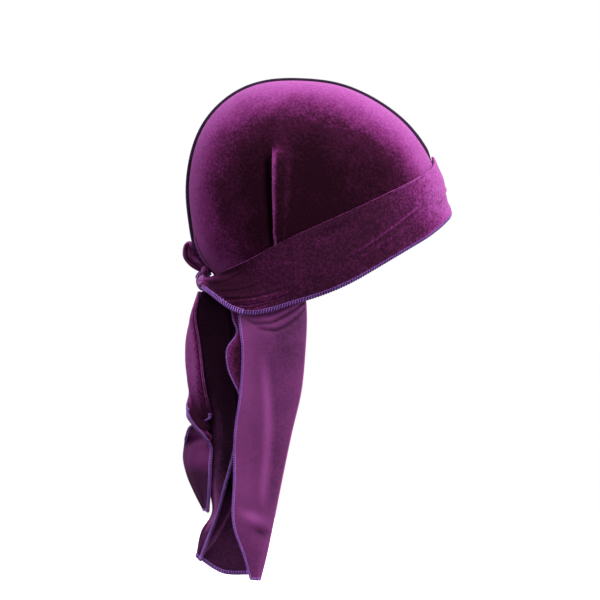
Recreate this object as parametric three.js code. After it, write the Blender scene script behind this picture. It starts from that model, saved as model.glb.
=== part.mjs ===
// A velvet durag as it is tied on a head: two crown panels with an outside centre seam, a wide strap band
// round the head, a knot with one bow loop, two free strap tails, and a neck cape with its right margin
// turned back. Millimetres: +X is the forehead, +Y the left ear, +Z up.
// The origin is the inside of the crown's top, where a head carries it.
import * as THREE from "three";
import { mergeVertices } from "three/addons/utils/BufferGeometryUtils.js";

// ---- driving dimensions
const CLOTH = 1.6; // wall of the velvet
const CLEARANCE = 0.3; // between neighbouring pieces
const HEAD_CENTRE = new THREE.Vector3(-8, 0, -92);
const HEAD_HALF_WIDTH = 74;
const HEAD_FULLNESS = 2.4; // 2 gives an ellipse, more a fuller side
// Radii of the head in its middle plane, every 15 degrees: forehead 0, top 90, back 180, under the nape 270.
const PROFILE_RADII = [
  113, 107.6, 103.4, 99.2, 95.9, 93.4, 92.1, 93.2, 92.8, 89.9, 85, 80.4,
  77.6, 77.6, 79.2, 77.4, 80.5, 95, 112, 120, 121, 119, 118, 116.5,
];

const SEAM_HALF_THICKNESS = 1.2; // two cloth edges under the overlock
const SEAM_HEIGHT = 3; // how far the seam stands proud of the velvet
const SEAM_TOP_ANGLE = 91; // where the side tucks meet the seam, degrees over the head from the forehead

// The band's two edges, by azimuth: 0 is the forehead, 180 the nape, the same on both sides.
const BAND_EDGES = [
  { azimuth: 0, top: -55, bottom: -98 },
  { azimuth: 15, top: -64, bottom: -106 },
  { azimuth: 30, top: -74, bottom: -121 },
  { azimuth: 60, top: -98, bottom: -152 },
  { azimuth: 90, top: -117.8, bottom: -167 },
  { azimuth: 120, top: -136, bottom: -174.5 },
  { azimuth: 150, top: -144.8, bottom: -159.5 },
  { azimuth: 169, top: -145.4, bottom: -156 },
];
const BAND_REACH = 169; // azimuth of the band's ends, at the knot
const BAND_LIFT = 2.6; // the band's inside, off the head
// The band's hem hangs in an outline of its own, which stands off the neck.
const HEM_OUTLINE = { front: 108.5, rear: 69.5, side: 68, fullness: 2.4, frontDraft: 0.5, sideDraft: 0.12 };
// Soft folds that run across the forehead: extra lift at each share of the band's height, top edge to hem.
const FOREHEAD_FOLDS = [
  { share: 0, lift: 0 },
  { share: 0.13, lift: 0.2 },
  { share: 0.28, lift: 0.7 },
  { share: 0.42, lift: 0.2 },
  { share: 0.6, lift: -0.9 },
  { share: 0.78, lift: -0.8 },
  { share: 0.91, lift: 0.8 },
  { share: 1, lift: -0.4 },
];
const HEM_TUCK = { share: 0.84, depth: 1.1, from: 95, to: 168 }; // the groove above the hem, by azimuth

// The tuck on each crown panel: a fold pressed towards the back. Along is from the tuck's line, lift is off
// the panel and slide is towards the back, down the tuck's lip.
const TUCK_PROFILE = [
  { along: -12, lift: 0, slide: 0 },
  { along: -7, lift: 0.8, slide: 0 },
  { along: -3, lift: 2.4, slide: 0.2 },
  { along: 0, lift: 3.6, slide: 0.6 },
  { along: 0.3, lift: 1.9, slide: 0.7 },
  { along: 0.6, lift: 0.1, slide: 0.1 },
  { along: 5, lift: 0, slide: 0 },
];
const TUCK_LINE = 0.5; // its place along the panel, front to back
// It dies out upwards between these shares of the panel, seam to rim.
const TUCK_TOP = { from: 0.45, to: 0.54 };
const TUCK_FOOT = { from: 0.845, to: 0.87 }; // the band presses it flat between these
const RIM_LENGTH = 275; // of a panel, along the band
const RIM_SHARE = 0.45; // the panels end at this share of the band's height

const COLOURS = { velvet: 0x3a0b33, wrongSide: 0x7a2f80, overlock: 0x4a2a78 };

// ---- small mathematics
const degrees = THREE.MathUtils.degToRad;
const clamp = THREE.MathUtils.clamp;
const smoothstep = THREE.MathUtils.smoothstep;

function bump(x, centre, halfWidth) {
  return Math.exp(-(((x - centre) / halfWidth) ** 2));
}

function softMaximum(a, b, blend) {
  return (a + b + Math.hypot(a - b, blend)) / 2;
}

// A smooth value of one column of a table, at a value of the column that the rows are sorted by.
function readTable(rows, by, value, column) {
  const slope = (i) => {
    const before = rows[Math.max(i - 1, 0)];
    const after = rows[Math.min(i + 1, rows.length - 1)];
    return (after[column] - before[column]) / (after[by] - before[by]);
  };
  const found = rows.findIndex((row) => row[by] > value);
  const i = found === -1 ? rows.length - 2 : Math.max(found - 1, 0);
  const span = rows[i + 1][by] - rows[i][by];
  const t = clamp((value - rows[i][by]) / span, 0, 1);
  return (
    (2 * t ** 3 - 3 * t ** 2 + 1) * rows[i][column] +
    (t ** 3 - 2 * t ** 2 + t) * span * slope(i) +
    (3 * t ** 2 - 2 * t ** 3) * rows[i + 1][column] +
    (t ** 3 - t ** 2) * span * slope(i + 1)
  );
}

function steps(count) {
  return Array.from({ length: count + 1 }, (_, i) => i / count);
}

// ---- the head form that carries the cloth
function profileRadius(angle) {
  const count = PROFILE_RADII.length;
  return PROFILE_RADII.reduce((sum, radius, i) => {
    const away = angle - (i * 2 * Math.PI) / count;
    const onStation = Math.abs(Math.sin(away / 2)) < 1e-9;
    const weight = onStation ? 1 : Math.sin((count * away) / 2) / (count * Math.tan(away / 2));
    return sum + weight * radius;
  }, 0);
}

function headPoint(direction) {
  const inPlane = Math.hypot(direction.x, direction.z) / profileRadius(Math.atan2(direction.z, direction.x));
  const across = Math.abs(direction.y) / HEAD_HALF_WIDTH;
  const radius = (inPlane ** HEAD_FULLNESS + across ** HEAD_FULLNESS) ** (-1 / HEAD_FULLNESS);
  return direction.clone().multiplyScalar(radius).add(HEAD_CENTRE);
}

function headNormal(direction) {
  const step = 1e-3;
  const aside = new THREE.Vector3(-direction.z, 0.3, direction.x).cross(direction).normalize();
  const along = aside.clone().cross(direction);
  const difference = (tangent) =>
    headPoint(direction.clone().addScaledVector(tangent, step).normalize()).sub(
      headPoint(direction.clone().addScaledVector(tangent, -step).normalize()),
    );
  const normal = difference(aside).cross(difference(along)).normalize();
  return normal.dot(direction) < 0 ? normal.negate() : normal;
}

function directionFrom(azimuth, elevation) {
  return new THREE.Vector3(
    Math.cos(azimuth) * Math.cos(elevation),
    -Math.sin(azimuth) * Math.cos(elevation),
    Math.sin(elevation),
  );
}

// The direction of the head's point at an azimuth and a height. Azimuths above 0 are on the right.
function directionAt(azimuth, height) {
  let elevation = 0;
  for (let i = 0; i < 16; i++) {
    const reach = headPoint(directionFrom(azimuth, elevation)).distanceTo(HEAD_CENTRE);
    elevation = Math.asin(clamp((height - HEAD_CENTRE.z) / reach, -0.98, 0.98));
  }
  return directionFrom(azimuth, elevation);
}

// ---- cloth bodies
// A closed wall between two skins, each a function of (u, v). The outer skin faces along du x dv.
function wallBetween(outer, inner, us, vs) {
  const positions = [];
  for (const skin of [outer, inner]) {
    for (const v of vs) {
      for (const u of us) positions.push(...skin(u, v).toArray());
    }
  }
  const row = us.length;
  const inside = row * vs.length;
  const faces = [];
  const quad = (a, b, c, d) => faces.push([a, b, c], [a, c, d]);
  const last = { u: row - 1, v: vs.length - 1 };
  for (let j = 0; j < last.v; j++) {
    for (let i = 0; i < last.u; i++) {
      const a = j * row + i;
      quad(a, a + 1, a + row + 1, a + row);
      quad(inside + a, inside + a + row, inside + a + row + 1, inside + a + 1);
    }
    const start = j * row;
    const end = start + last.u;
    quad(start, start + row, inside + start + row, inside + start);
    quad(end, inside + end, inside + end + row, end + row);
  }
  for (let i = 0; i < last.u; i++) {
    const far = last.v * row + i;
    quad(i, inside + i, inside + i + 1, i + 1);
    quad(far, far + 1, inside + far + 1, inside + far);
  }
  return closedGeometry(positions, faces.flat());
}

// Merges the points that meet, and drops the faces that this leaves without area.
function closedGeometry(positions, index) {
  const raw = new THREE.BufferGeometry();
  raw.setAttribute("position", new THREE.Float32BufferAttribute(positions, 3));
  raw.setIndex(index);
  const geometry = mergeVertices(raw, 1e-3);
  const merged = Array.from(geometry.index.array);
  const kept = [];
  for (let i = 0; i < merged.length; i += 3) {
    const [a, b, c] = merged.slice(i, i + 3);
    if (a !== b && b !== c && c !== a) kept.push(a, b, c);
  }
  geometry.setIndex(kept);
  geometry.computeVertexNormals();
  return geometry;
}

// The two skins of a cloth wall round its middle surface.
function skins(middle, thickness) {
  const step = 1e-3;
  const normal = (u, v) => {
    const du = middle(Math.min(u + step, 1), v).sub(middle(Math.max(u - step, 0), v));
    const dv = middle(u, Math.min(v + step, 1)).sub(middle(u, Math.max(v - step, 0)));
    return du.cross(dv).normalize();
  };
  const skin = (side) => (u, v) => middle(u, v).addScaledVector(normal(u, v), (side * thickness) / 2);
  return { outer: skin(1), inner: skin(-1) };
}

function sheetBody(middle, us, vs, thickness = CLOTH) {
  const { outer, inner } = skins(middle, thickness);
  return wallBetween(outer, inner, us, vs);
}

// A smooth sheet through stations along it, each of which names its points across the sheet, in order.
function stripThrough(stations, pointNames) {
  const guides = pointNames.map(
    (name) => new THREE.CatmullRomCurve3(stations.map((station) => new THREE.Vector3(...station[name]))),
  );
  return (u, v) => new THREE.CatmullRomCurve3(guides.map((guide) => guide.getPoint(v))).getPoint(u);
}

// A hanging sheet through level sections, top to bottom, whose points are in plan. Slope tips a section, in
// height for each millimetre towards +X from its first point, and curve bends that line.
function hangingSheet(sections, pointNames) {
  const stations = sections.map(({ z, slope = 0, curve = 0, ...plan }) => {
    const start = plan[pointNames[0]][0];
    const placed = pointNames.map((name) => {
      const [x, y] = plan[name];
      const forward = x - start;
      return [name, [x, y, z + slope * forward + curve * forward ** 2]];
    });
    return Object.fromEntries(placed);
  });
  return stripThrough(stations, pointNames);
}

// ---- crown
function rimHeight(azimuth) {
  const top = readTable(BAND_EDGES, "azimuth", azimuth, "top");
  const bottom = readTable(BAND_EDGES, "azimuth", azimuth, "bottom");
  return top + RIM_SHARE * (bottom - top);
}

// The right panel's direction from the head's centre: s runs from front to back, t from seam to rim.
const FRONT_ANGLE = elevationOf(directionAt(0, rimHeight(0)));
const BACK_ANGLE = elevationOf(directionAt(Math.PI, rimHeight(180)));
const TUCK_AZIMUTH = 100.2;

function elevationOf(direction) {
  const angle = THREE.MathUtils.radToDeg(Math.atan2(direction.z, direction.x));
  return angle < -90 ? angle + 360 : angle;
}

// A parabola through three values, at 0, a half and 1.
function through(start, middle, end, s) {
  return start * (1 - s) * (1 - 2 * s) + middle * 4 * s * (1 - s) + end * s * (2 * s - 1);
}

function panelDirection(s, t) {
  const overHead = degrees(through(FRONT_ANGLE, SEAM_TOP_ANGLE, BACK_ANGLE, s));
  const seam = new THREE.Vector3(Math.cos(overHead), 0, Math.sin(overHead));
  const azimuth = through(0, TUCK_AZIMUTH, 180, s);
  const rim = directionAt(degrees(azimuth), rimHeight(azimuth));
  const angle = seam.angleTo(rim);
  if (angle < 1e-4) return seam;
  return seam
    .multiplyScalar(Math.sin((1 - t) * angle) / Math.sin(angle))
    .addScaledVector(rim, Math.sin(t * angle) / Math.sin(angle));
}

// Each panel stands clear of the middle plane by half the seam.
function onSide(point, side) {
  return new THREE.Vector3(point.x, side * (Math.abs(point.y) + SEAM_HALF_THICKNESS + CLEARANCE), point.z);
}

function crownPanel(side) {
  const tuck = TUCK_PROFILE.map((row) => ({ ...row, s: TUCK_LINE + row.along / RIM_LENGTH }));
  const first = tuck[0].s;
  const last = tuck[tuck.length - 1].s;
  const plain = steps(26).filter((s) => s < first - 0.015 || s > last + 0.015);
  const columns = [...plain, ...tuck.map((row) => row.s)].sort((a, b) => a - b);
  const skin = (lift, withTuck) => (s, t) => {
    const direction = panelDirection(s, t);
    const point = headPoint(direction);
    const row = withTuck && tuck.find((candidate) => candidate.s === s);
    const pressed = 1 - smoothstep(t, TUCK_FOOT.from, TUCK_FOOT.to);
    const strength = row ? smoothstep(t, TUCK_TOP.from, TUCK_TOP.to) * pressed : 0;
    const rise = lift + (row ? row.lift * strength : 0);
    point.addScaledVector(headNormal(direction), rise);
    if (strength > 0) {
      const back = headPoint(panelDirection(s + 0.01, t)).sub(headPoint(panelDirection(s - 0.01, t)));
      point.addScaledVector(back.normalize(), row.slide * strength);
    }
    return onSide(point, side);
  };
  const outer = skin(CLOTH, true);
  const inner = skin(0, false);
  const down = [...steps(12), TUCK_FOOT.to].sort((a, b) => a - b);
  // The right side's outer skin faces along ds x dt; on the left it is mirrored.
  if (side < 0) return wallBetween(outer, inner, columns, down);
  return wallBetween((t, s) => outer(s, t), (t, s) => inner(s, t), down, columns);
}

function crownSeam() {
  const from = FRONT_ANGLE + 6;
  const to = 218.8; // just above the knot
  // Its section: height off the head's surface, then across.
  const fullHeight = CLOTH + SEAM_HEIGHT;
  const section = [
    [0.3, -SEAM_HALF_THICKNESS],
    [fullHeight - 0.9, -SEAM_HALF_THICKNESS],
    [fullHeight, -0.45 * SEAM_HALF_THICKNESS],
    [fullHeight, 0.45 * SEAM_HALF_THICKNESS],
    [fullHeight - 0.9, SEAM_HALF_THICKNESS],
    [0.3, SEAM_HALF_THICKNESS],
  ];
  const rings = steps(44).map((share) => {
    const angle = from + share * (to - from);
    // The band presses the seam flat at the forehead, and the bow does so above the knot.
    const inFront = 0.62 * (1 - smoothstep(angle, from + 2, from + 10));
    const pressed = 1 - inFront - 0.5 * smoothstep(angle, 203, 214);
    const direction = new THREE.Vector3(Math.cos(degrees(angle)), 0, Math.sin(degrees(angle)));
    const normal = headNormal(direction).setY(0).normalize();
    return section.map(([height, aside]) =>
      headPoint(direction)
        .addScaledVector(normal, height * pressed)
        .setY(aside),
    );
  });
  return loft(rings);
}

// A closed body through rings of equal count, with flat ends. The rings turn clockwise, seen from the first.
function loft(rings) {
  const count = rings[0].length;
  const index = [];
  for (let j = 0; j < rings.length - 1; j++) {
    for (let i = 0; i < count; i++) {
      const a = j * count + i;
      const b = j * count + ((i + 1) % count);
      index.push(a, b, b + count, a, b + count, a + count);
    }
  }
  const end = (rings.length - 1) * count;
  for (let i = 1; i < count - 1; i++) {
    index.push(0, i + 1, i, end, end + i, end + i + 1);
  }
  return closedGeometry(rings.flat().flatMap((point) => point.toArray()), index);
}

// ---- band
function hemRadius(azimuth) {
  const { front, rear, side, fullness } = HEM_OUTLINE;
  const forward = Math.cos(azimuth);
  const along = Math.abs(forward) / (forward > 0 ? front : rear);
  const across = Math.abs(Math.sin(azimuth)) / side;
  return (along ** fullness + across ** fullness) ** (-1 / fullness);
}

// The band's middle surface: u runs from the left end over the forehead to the right end, v down.
function bandSurface(u, v) {
  const signed = (2 * u - 1) * BAND_REACH;
  const azimuth = Math.abs(signed);
  const top = readTable(BAND_EDGES, "azimuth", azimuth, "top");
  const bottom = readTable(BAND_EDGES, "azimuth", azimuth, "bottom");
  const height = top + v * (bottom - top);
  const direction = directionAt(degrees(azimuth), height);
  const onHead = headPoint(direction);
  const outward = new THREE.Vector3(Math.cos(degrees(azimuth)), -Math.sin(degrees(azimuth)), 0);
  const upright = Math.max(headNormal(direction).dot(outward), 0.5);
  const forehead = 1 - smoothstep(azimuth, 12, 62);
  const overSeam = 1.2 * bump(azimuth, 0, 8) * (1 - smoothstep(v, 0, 0.25));
  const { share, depth, from, to } = HEM_TUCK;
  const tuckHere = smoothstep(azimuth, from, from + 15) * (1 - smoothstep(azimuth, to - 12, to));
  const tuck = depth * bump(v, share, 0.06) * tuckHere;
  const folds = forehead * readTable(FOREHEAD_FOLDS, "share", v, "lift") + overSeam - tuck;
  const lift = BAND_LIFT + CLOTH / 2 + folds;
  const halfSeam = (SEAM_HALF_THICKNESS + CLEARANCE) * Math.sin(degrees(azimuth));
  const overHead = Math.hypot(onHead.x - HEAD_CENTRE.x, onHead.y) + halfSeam + lift / upright;
  const { frontDraft, sideDraft } = HEM_OUTLINE;
  const draft = THREE.MathUtils.lerp(frontDraft, sideDraft, smoothstep(azimuth, 40, 90));
  const hem = hemRadius(degrees(azimuth)) + folds - draft * (height - bottom);
  // The top edge rests on the crown; below it the band stands off where the hem is wider than the head.
  const radius = THREE.MathUtils.lerp(overHead, softMaximum(overHead, hem, 3), smoothstep(v, 0, 0.35));
  const side = signed < 0 ? 1 : -1;
  return new THREE.Vector3(
    HEAD_CENTRE.x + radius * Math.cos(degrees(azimuth)),
    side * radius * Math.sin(degrees(azimuth)),
    height,
  );
}

function band() {
  const across = [0, 0.13, 0.28, 0.44, 0.6, 0.77, 0.84, 0.91, 1];
  return sheetBody(bandSurface, steps(48), across);
}

// ---- knot and bow loop
const KNOT = {
  centre: new THREE.Vector3(-77.1, 0, -149.4),
  halfSize: new THREE.Vector3(5.4, 12.4, 7.3),
};

function knot() {
  const geometry = new THREE.SphereGeometry(1, 20, 12);
  geometry.deleteAttribute("normal");
  geometry.deleteAttribute("uv");
  const position = geometry.getAttribute("position");
  const point = new THREE.Vector3();
  for (let i = 0; i < position.count; i++) {
    point.fromBufferAttribute(position, i);
    // The strap's last turn passes over the middle, slightly askew, with a crease on each side of it.
    const across = point.y + 0.25 * point.z;
    const creases = bump(across, 0.52, 0.13) + bump(across, -0.52, 0.13);
    const wrap = 1 + 0.06 * bump(across, 0, 0.34) - 0.16 * creases;
    point.multiplyScalar(wrap).multiply(KNOT.halfSize).add(KNOT.centre);
    position.setXYZ(i, ...point.toArray());
  }
  return closedGeometry(Array.from(position.array), Array.from(geometry.index.array));
}

// The loop's strap, from the knot up round the loop and back. Its near edge is rolled in, so that the strap
// bulges round the hollow; each station names its points across the strap.
const LOOP_POINTS = ["near", "belly", "far"];
const LOOP_STATIONS = [
  { near: [-79.3, -4, -141.6], belly: [-80.1, 2, -141.8], far: [-78.2, 10, -141] },
  { near: [-81.8, -5, -140], belly: [-83.4, 4, -140.2], far: [-80.8, 17, -138.6] },
  { near: [-85.2, -5, -137.9], belly: [-87.4, 8, -137.4], far: [-84.4, 23, -134.8] },
  { near: [-88.4, -4, -135.2], belly: [-90.5, 9, -134.2], far: [-87, 29, -131.8] },
  { near: [-90.8, -3, -131.2], belly: [-92.5, 10, -130.6], far: [-88.8, 34, -129.4] },
  { near: [-91.1, -2, -127], belly: [-92.9, 11, -126.6], far: [-89, 37, -126.4] },
  { near: [-90.6, -2, -123.2], belly: [-91.6, 12, -121.6], far: [-89, 38, -123.2] },
  { near: [-89.2, -2, -121.6], belly: [-88.8, 12, -119.6], far: [-87.6, 36, -121.8] },
  { near: [-88.2, -2, -123.4], belly: [-83.6, 9, -122.8], far: [-85.4, 30, -123.6] },
  { near: [-87.9, -2, -127.4], belly: [-81.9, 8, -127.6], far: [-86, 26, -127.8] },
  { near: [-87.4, -2.4, -131.2], belly: [-79.9, 8, -131.8], far: [-84.6, 22, -131.4] },
  { near: [-85.6, -3, -133.8], belly: [-78.3, 8, -134.6], far: [-81.8, 17, -134.4] },
  { near: [-82.8, -3.6, -135.7], belly: [-77, 7, -136.8], far: [-79, 12, -136.8] },
  { near: [-80.1, -4, -137.4], belly: [-77, 5, -138.4], far: [-76.8, 9, -138.8] },
  { near: [-78.2, -3.6, -139.5], belly: [-76.4, 3, -140.2], far: [-75.8, 7, -140.6] },
];

function bowLoop() {
  return sheetBody(stripThrough(LOOP_STATIONS, LOOP_POINTS), steps(6), steps(22), 1.5);
}

// ---- tails
// The left tail's strap hangs edge on to the side. It makes a half twist: the second edge comes round the
// front and the first edge goes behind.
const TAIL_LEFT_POINTS = ["firstEdge", "first", "middle", "second", "secondEdge"];
const TAIL_LEFT_SECTIONS = [
  { z: -157.8, firstEdge: [-79.4, -8.4], first: [-80.4, -4], middle: [-80.5, 1],
    second: [-80, 6], secondEdge: [-79, 11] },
  { z: -167, firstEdge: [-81.4, -12], first: [-83.6, -6.6], middle: [-83.4, 2],
    second: [-83, 11], secondEdge: [-82.4, 19] },
  { z: -177, firstEdge: [-82.4, -13.6], first: [-86, -8], middle: [-86.9, 4],
    second: [-87, 16], secondEdge: [-86.4, 27.1] },
  { z: -194, firstEdge: [-79.6, -15.4], first: [-84.8, -9.6], middle: [-88.6, 3],
    second: [-90.4, 18], secondEdge: [-91, 32.9] },
  { z: -212, firstEdge: [-77.4, -18], first: [-83.2, -12], middle: [-88.4, 3],
    second: [-90.8, 18.5], secondEdge: [-91.5, 33.9] },
  { z: -225, firstEdge: [-76, -19.6], first: [-82.2, -12.4], middle: [-87.6, 2],
    second: [-89.6, 17], secondEdge: [-90, 31.4] },
  { z: -236, firstEdge: [-74.2, -20.4], first: [-80.4, -12.4], middle: [-85.3, 0],
    second: [-87.9, 13], secondEdge: [-89, 26] },
  { z: -245, firstEdge: [-72, -20], first: [-78, -12], middle: [-83, -3],
    second: [-87.4, 3], secondEdge: [-90.4, 8] },
  { z: -252, firstEdge: [-70.6, -18.4], first: [-76.5, -13], middle: [-83, -9.5],
    second: [-88.2, -12], secondEdge: [-86.8, -20] },
  { z: -260, firstEdge: [-82, -3], first: [-71.8, -12], middle: [-75.6, -18],
    second: [-80.8, -21.4], secondEdge: [-80.8, -28] },
  { z: -267, firstEdge: [-90.6, -1], first: [-81, -5], middle: [-73.4, -10.6],
    second: [-70.6, -17.6], secondEdge: [-75.6, -24.6] },
  { z: -275, firstEdge: [-92.4, 18], first: [-89, 9], middle: [-83.4, 0],
    second: [-76, -8], secondEdge: [-70.4, -17.6] },
  { z: -287, firstEdge: [-93.8, 25], first: [-91, 15], middle: [-86.4, 5],
    second: [-79.6, -5.6], secondEdge: [-70.8, -17.6] },
  { z: -298, firstEdge: [-91, 22], first: [-89.2, 13.4], middle: [-84.6, 3],
    second: [-78.6, -6.6], secondEdge: [-71, -16.4] },
  { z: -311, firstEdge: [-84.6, 13.6], first: [-83.4, 7.6], middle: [-80.4, 0],
    second: [-76.4, -7.4], secondEdge: [-71.6, -14.6] },
  { z: -324, firstEdge: [-77, 4.6], first: [-76.2, 1.6], middle: [-74.6, -1.6],
    second: [-74.2, -6.2], secondEdge: [-72.8, -12] },
];

function tailLeft() {
  return sheetBody(hangingSheet(TAIL_LEFT_SECTIONS, TAIL_LEFT_POINTS), steps(10), steps(30));
}

// The right tail's strap is folded lengthwise. Its fold is at the back; the near leaf runs from there to an
// edge that draws back to the fold lower down, and the far leaf to the edge behind the cape.
const TAIL_RIGHT_POINTS = ["nearEdge", "nearLeaf", "foldNear", "fold", "foldFar", "farLeaf", "farEdge"];
const TAIL_RIGHT_SECTIONS = [
  { z: -157.6, nearEdge: [-70, -11.5], nearLeaf: [-73, -10.6], foldNear: [-75.8, -9],
    fold: [-77.2, -6.4], foldFar: [-75.8, -4.4], farLeaf: [-73.4, -4.4], farEdge: [-71, -5.6] },
  { z: -166, nearEdge: [-62.6, -23.6], nearLeaf: [-70.2, -17], foldNear: [-78, -10.6],
    fold: [-80.2, -7.6], foldFar: [-78, -6], farLeaf: [-71.8, -8.4], farEdge: [-66.6, -11.6] },
  { z: -178, nearEdge: [-55.6, -36.4], nearLeaf: [-67.6, -24], foldNear: [-80, -12.2],
    fold: [-82.6, -8.8], foldFar: [-79.8, -7], farLeaf: [-70, -12], farEdge: [-63, -16] },
  { z: -205, nearEdge: [-53.6, -38.6], nearLeaf: [-65.6, -27], foldNear: [-77.6, -13.6],
    fold: [-79.9, -10], foldFar: [-77, -8.4], farLeaf: [-68, -14.6], farEdge: [-61, -20] },
  { z: -237, nearEdge: [-50.8, -40], nearLeaf: [-62.4, -28], foldNear: [-73.8, -11.4],
    fold: [-76.6, -7.6], foldFar: [-73.4, -5.8], farLeaf: [-64, -13], farEdge: [-58, -19] },
  { z: -256, nearEdge: [-51, -40], nearLeaf: [-60.6, -27], foldNear: [-69.6, -9.6],
    fold: [-73.2, -5], foldFar: [-70, -3.6], farLeaf: [-62, -10], farEdge: [-56, -16] },
  { z: -275, nearEdge: [-52, -39], nearLeaf: [-61, -26], foldNear: [-70.2, -9],
    fold: [-73.6, -4.4], foldFar: [-70.4, -3], farLeaf: [-62, -9], farEdge: [-55, -14] },
  { z: -303, slope: -0.06, nearEdge: [-59, -31], nearLeaf: [-64.6, -22], foldNear: [-69.8, -9.4],
    fold: [-72.8, -5], foldFar: [-69.8, -3.4], farLeaf: [-61, -6.6], farEdge: [-53, -10] },
  { z: -325, slope: -0.12, nearEdge: [-65, -22], nearLeaf: [-67, -17], foldNear: [-68.4, -11.6],
    fold: [-69.9, -8], foldFar: [-67, -5.6], farLeaf: [-58, -8], farEdge: [-48, -11.4] },
  { z: -342, slope: -0.4, curve: 0.006, nearEdge: [-71.4, -16], nearLeaf: [-74, -13.4],
    foldNear: [-76.2, -10.6], fold: [-78, -7.8], foldFar: [-75, -5.4], farLeaf: [-61, -9],
    farEdge: [-44, -14.5] },
  { z: -361, slope: -0.8, curve: 0.0145, nearEdge: [-78.6, -11.6], nearLeaf: [-79.8, -10.4],
    foldNear: [-81, -9.4], fold: [-81.8, -7.2], foldFar: [-78.6, -5.6], farLeaf: [-62, -9.6],
    farEdge: [-41.4, -15] },
];

function tailRight() {
  return sheetBody(hangingSheet(TAIL_RIGHT_SECTIONS, TAIL_RIGHT_POINTS), steps(16), steps(20));
}

// ---- cape
// From the turned-back margin's free edge, forward to the front fold, then inside it round the nape to the
// left edge.
const CAPE_POINTS = [
  "freeEdge", "margin", "foldOutside", "fold", "foldInside", "right", "nape", "left", "leftEdge",
];
const CAPE_SECTIONS = [
  { z: -156.5, freeEdge: [-48, -52], margin: [-26, -61.5], foldOutside: [-4, -65], fold: [-0.4, -62.5],
    foldInside: [-4, -60], right: [-34, -51.5], nape: [-65, 0], left: [-34, 52], leftEdge: [2, 61] },
  { z: -177, freeEdge: [-48.7, -53], margin: [-26, -62], foldOutside: [-3, -65.2], fold: [0.6, -62.7],
    foldInside: [-3, -60.2], right: [-34, -51.5], nape: [-61, 0], left: [-36, 51], leftEdge: [-2, 61] },
  { z: -200, freeEdge: [-46.3, -54], margin: [-25, -63], foldOutside: [-4, -65.5], fold: [-0.4, -62.9],
    foldInside: [-4, -60.3], right: [-35, -51], nape: [-58, 0], left: [-38, 47], leftEdge: [-8, 60] },
  { z: -230, freeEdge: [-47.7, -53.5], margin: [-27, -62.5], foldOutside: [-7, -64.5], fold: [-3.3, -61.9],
    foldInside: [-7, -59.3], right: [-37, -50], nape: [-55.5, -4], left: [-41, 40], leftEdge: [-16, 56] },
  { z: -262, freeEdge: [-51.9, -52.5], margin: [-31, -61.5], foldOutside: [-14.2, -63.5], fold: [-10.6, -61],
    foldInside: [-14.2, -58.4], right: [-39, -49], nape: [-53, -12], left: [-42, 28], leftEdge: [-24, 47] },
  { z: -295, freeEdge: [-52.4, -52.5], margin: [-34, -60], foldOutside: [-20.9, -62], fold: [-17.4, -59.5],
    foldInside: [-20.9, -57], right: [-40, -48.5], nape: [-51.6, -23], left: [-42, 8], leftEdge: [-30, 28] },
  { z: -328, freeEdge: [-53, -52], margin: [-37.5, -58], foldOutside: [-27.4, -60], fold: [-23.9, -57.5],
    foldInside: [-27.4, -55], right: [-40, -47.5], nape: [-44, -34], left: [-39, -16], leftEdge: [-32, 0] },
  { z: -352, freeEdge: [-45, -52.5], margin: [-37, -56.5], foldOutside: [-32.2, -58], fold: [-28.9, -55.7],
    foldInside: [-32.2, -53], right: [-37, -48], nape: [-38.5, -41], left: [-37, -33],
    leftEdge: [-34, -26] },
  { z: -369, freeEdge: [-40, -52.4], margin: [-38, -54.4], foldOutside: [-35.6, -55.8], fold: [-33.2, -53.8],
    foldInside: [-35.2, -51.4], right: [-36.4, -49.4], nape: [-37, -47], left: [-36.8, -45],
    leftEdge: [-36.4, -43] },
];

function cape() {
  return sheetBody(hangingSheet(CAPE_SECTIONS, CAPE_POINTS), steps(28), steps(17));
}

// The cape's small rear corner, which shows between its free edge and the right tail.
const CORNER_POINTS = ["edge", "belly", "hidden"];
const CORNER_SECTIONS = [
  { z: -164, edge: [-55, -42], belly: [-50, -46], hidden: [-43, -50] },
  { z: -178, edge: [-53.4, -43.5], belly: [-49, -47], hidden: [-43, -50.5] },
  { z: -188, edge: [-50.4, -46.4], belly: [-47, -48.8], hidden: [-42.6, -51] },
  { z: -200, edge: [-57.6, -45], belly: [-51, -50.4], hidden: [-42, -52] },
  { z: -214, edge: [-57, -45], belly: [-51, -50], hidden: [-42, -52] },
  { z: -228, edge: [-51, -46.6], belly: [-47.6, -49.4], hidden: [-42.6, -51.8] },
  { z: -238, edge: [-46.6, -49], belly: [-45, -50], hidden: [-43, -51.6] },
];

function capeCorner() {
  return sheetBody(hangingSheet(CORNER_SECTIONS, CORNER_POINTS), steps(5), steps(14), 1.2);
}

// ---- the assembly
function piece(name, geometry, colour, roughness = 0.9) {
  const material = new THREE.MeshStandardMaterial({ color: colour, roughness, metalness: 0 });
  const mesh = new THREE.Mesh(geometry, material);
  mesh.name = name;
  return mesh;
}

const crown = new THREE.Group();
crown.add(
  piece("crown_right", crownPanel(-1), COLOURS.velvet),
  piece("crown_left", crownPanel(1), COLOURS.velvet),
  piece("crown_seam", crownSeam(), COLOURS.overlock),
);

const strap = new THREE.Group();
strap.add(
  piece("band", band(), COLOURS.velvet),
  piece("knot", knot(), COLOURS.wrongSide),
  piece("bow_loop", bowLoop(), COLOURS.velvet),
  piece("tail_left", tailLeft(), COLOURS.velvet),
  piece("tail_right", tailRight(), COLOURS.velvet),
);

const flap = new THREE.Group();
flap.add(
  piece("cape", cape(), COLOURS.wrongSide, 0.55),
  piece("cape_corner", capeCorner(), COLOURS.velvet),
);

const durag = new THREE.Group();
durag.add(crown, strap, flap);

export default durag;
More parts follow.
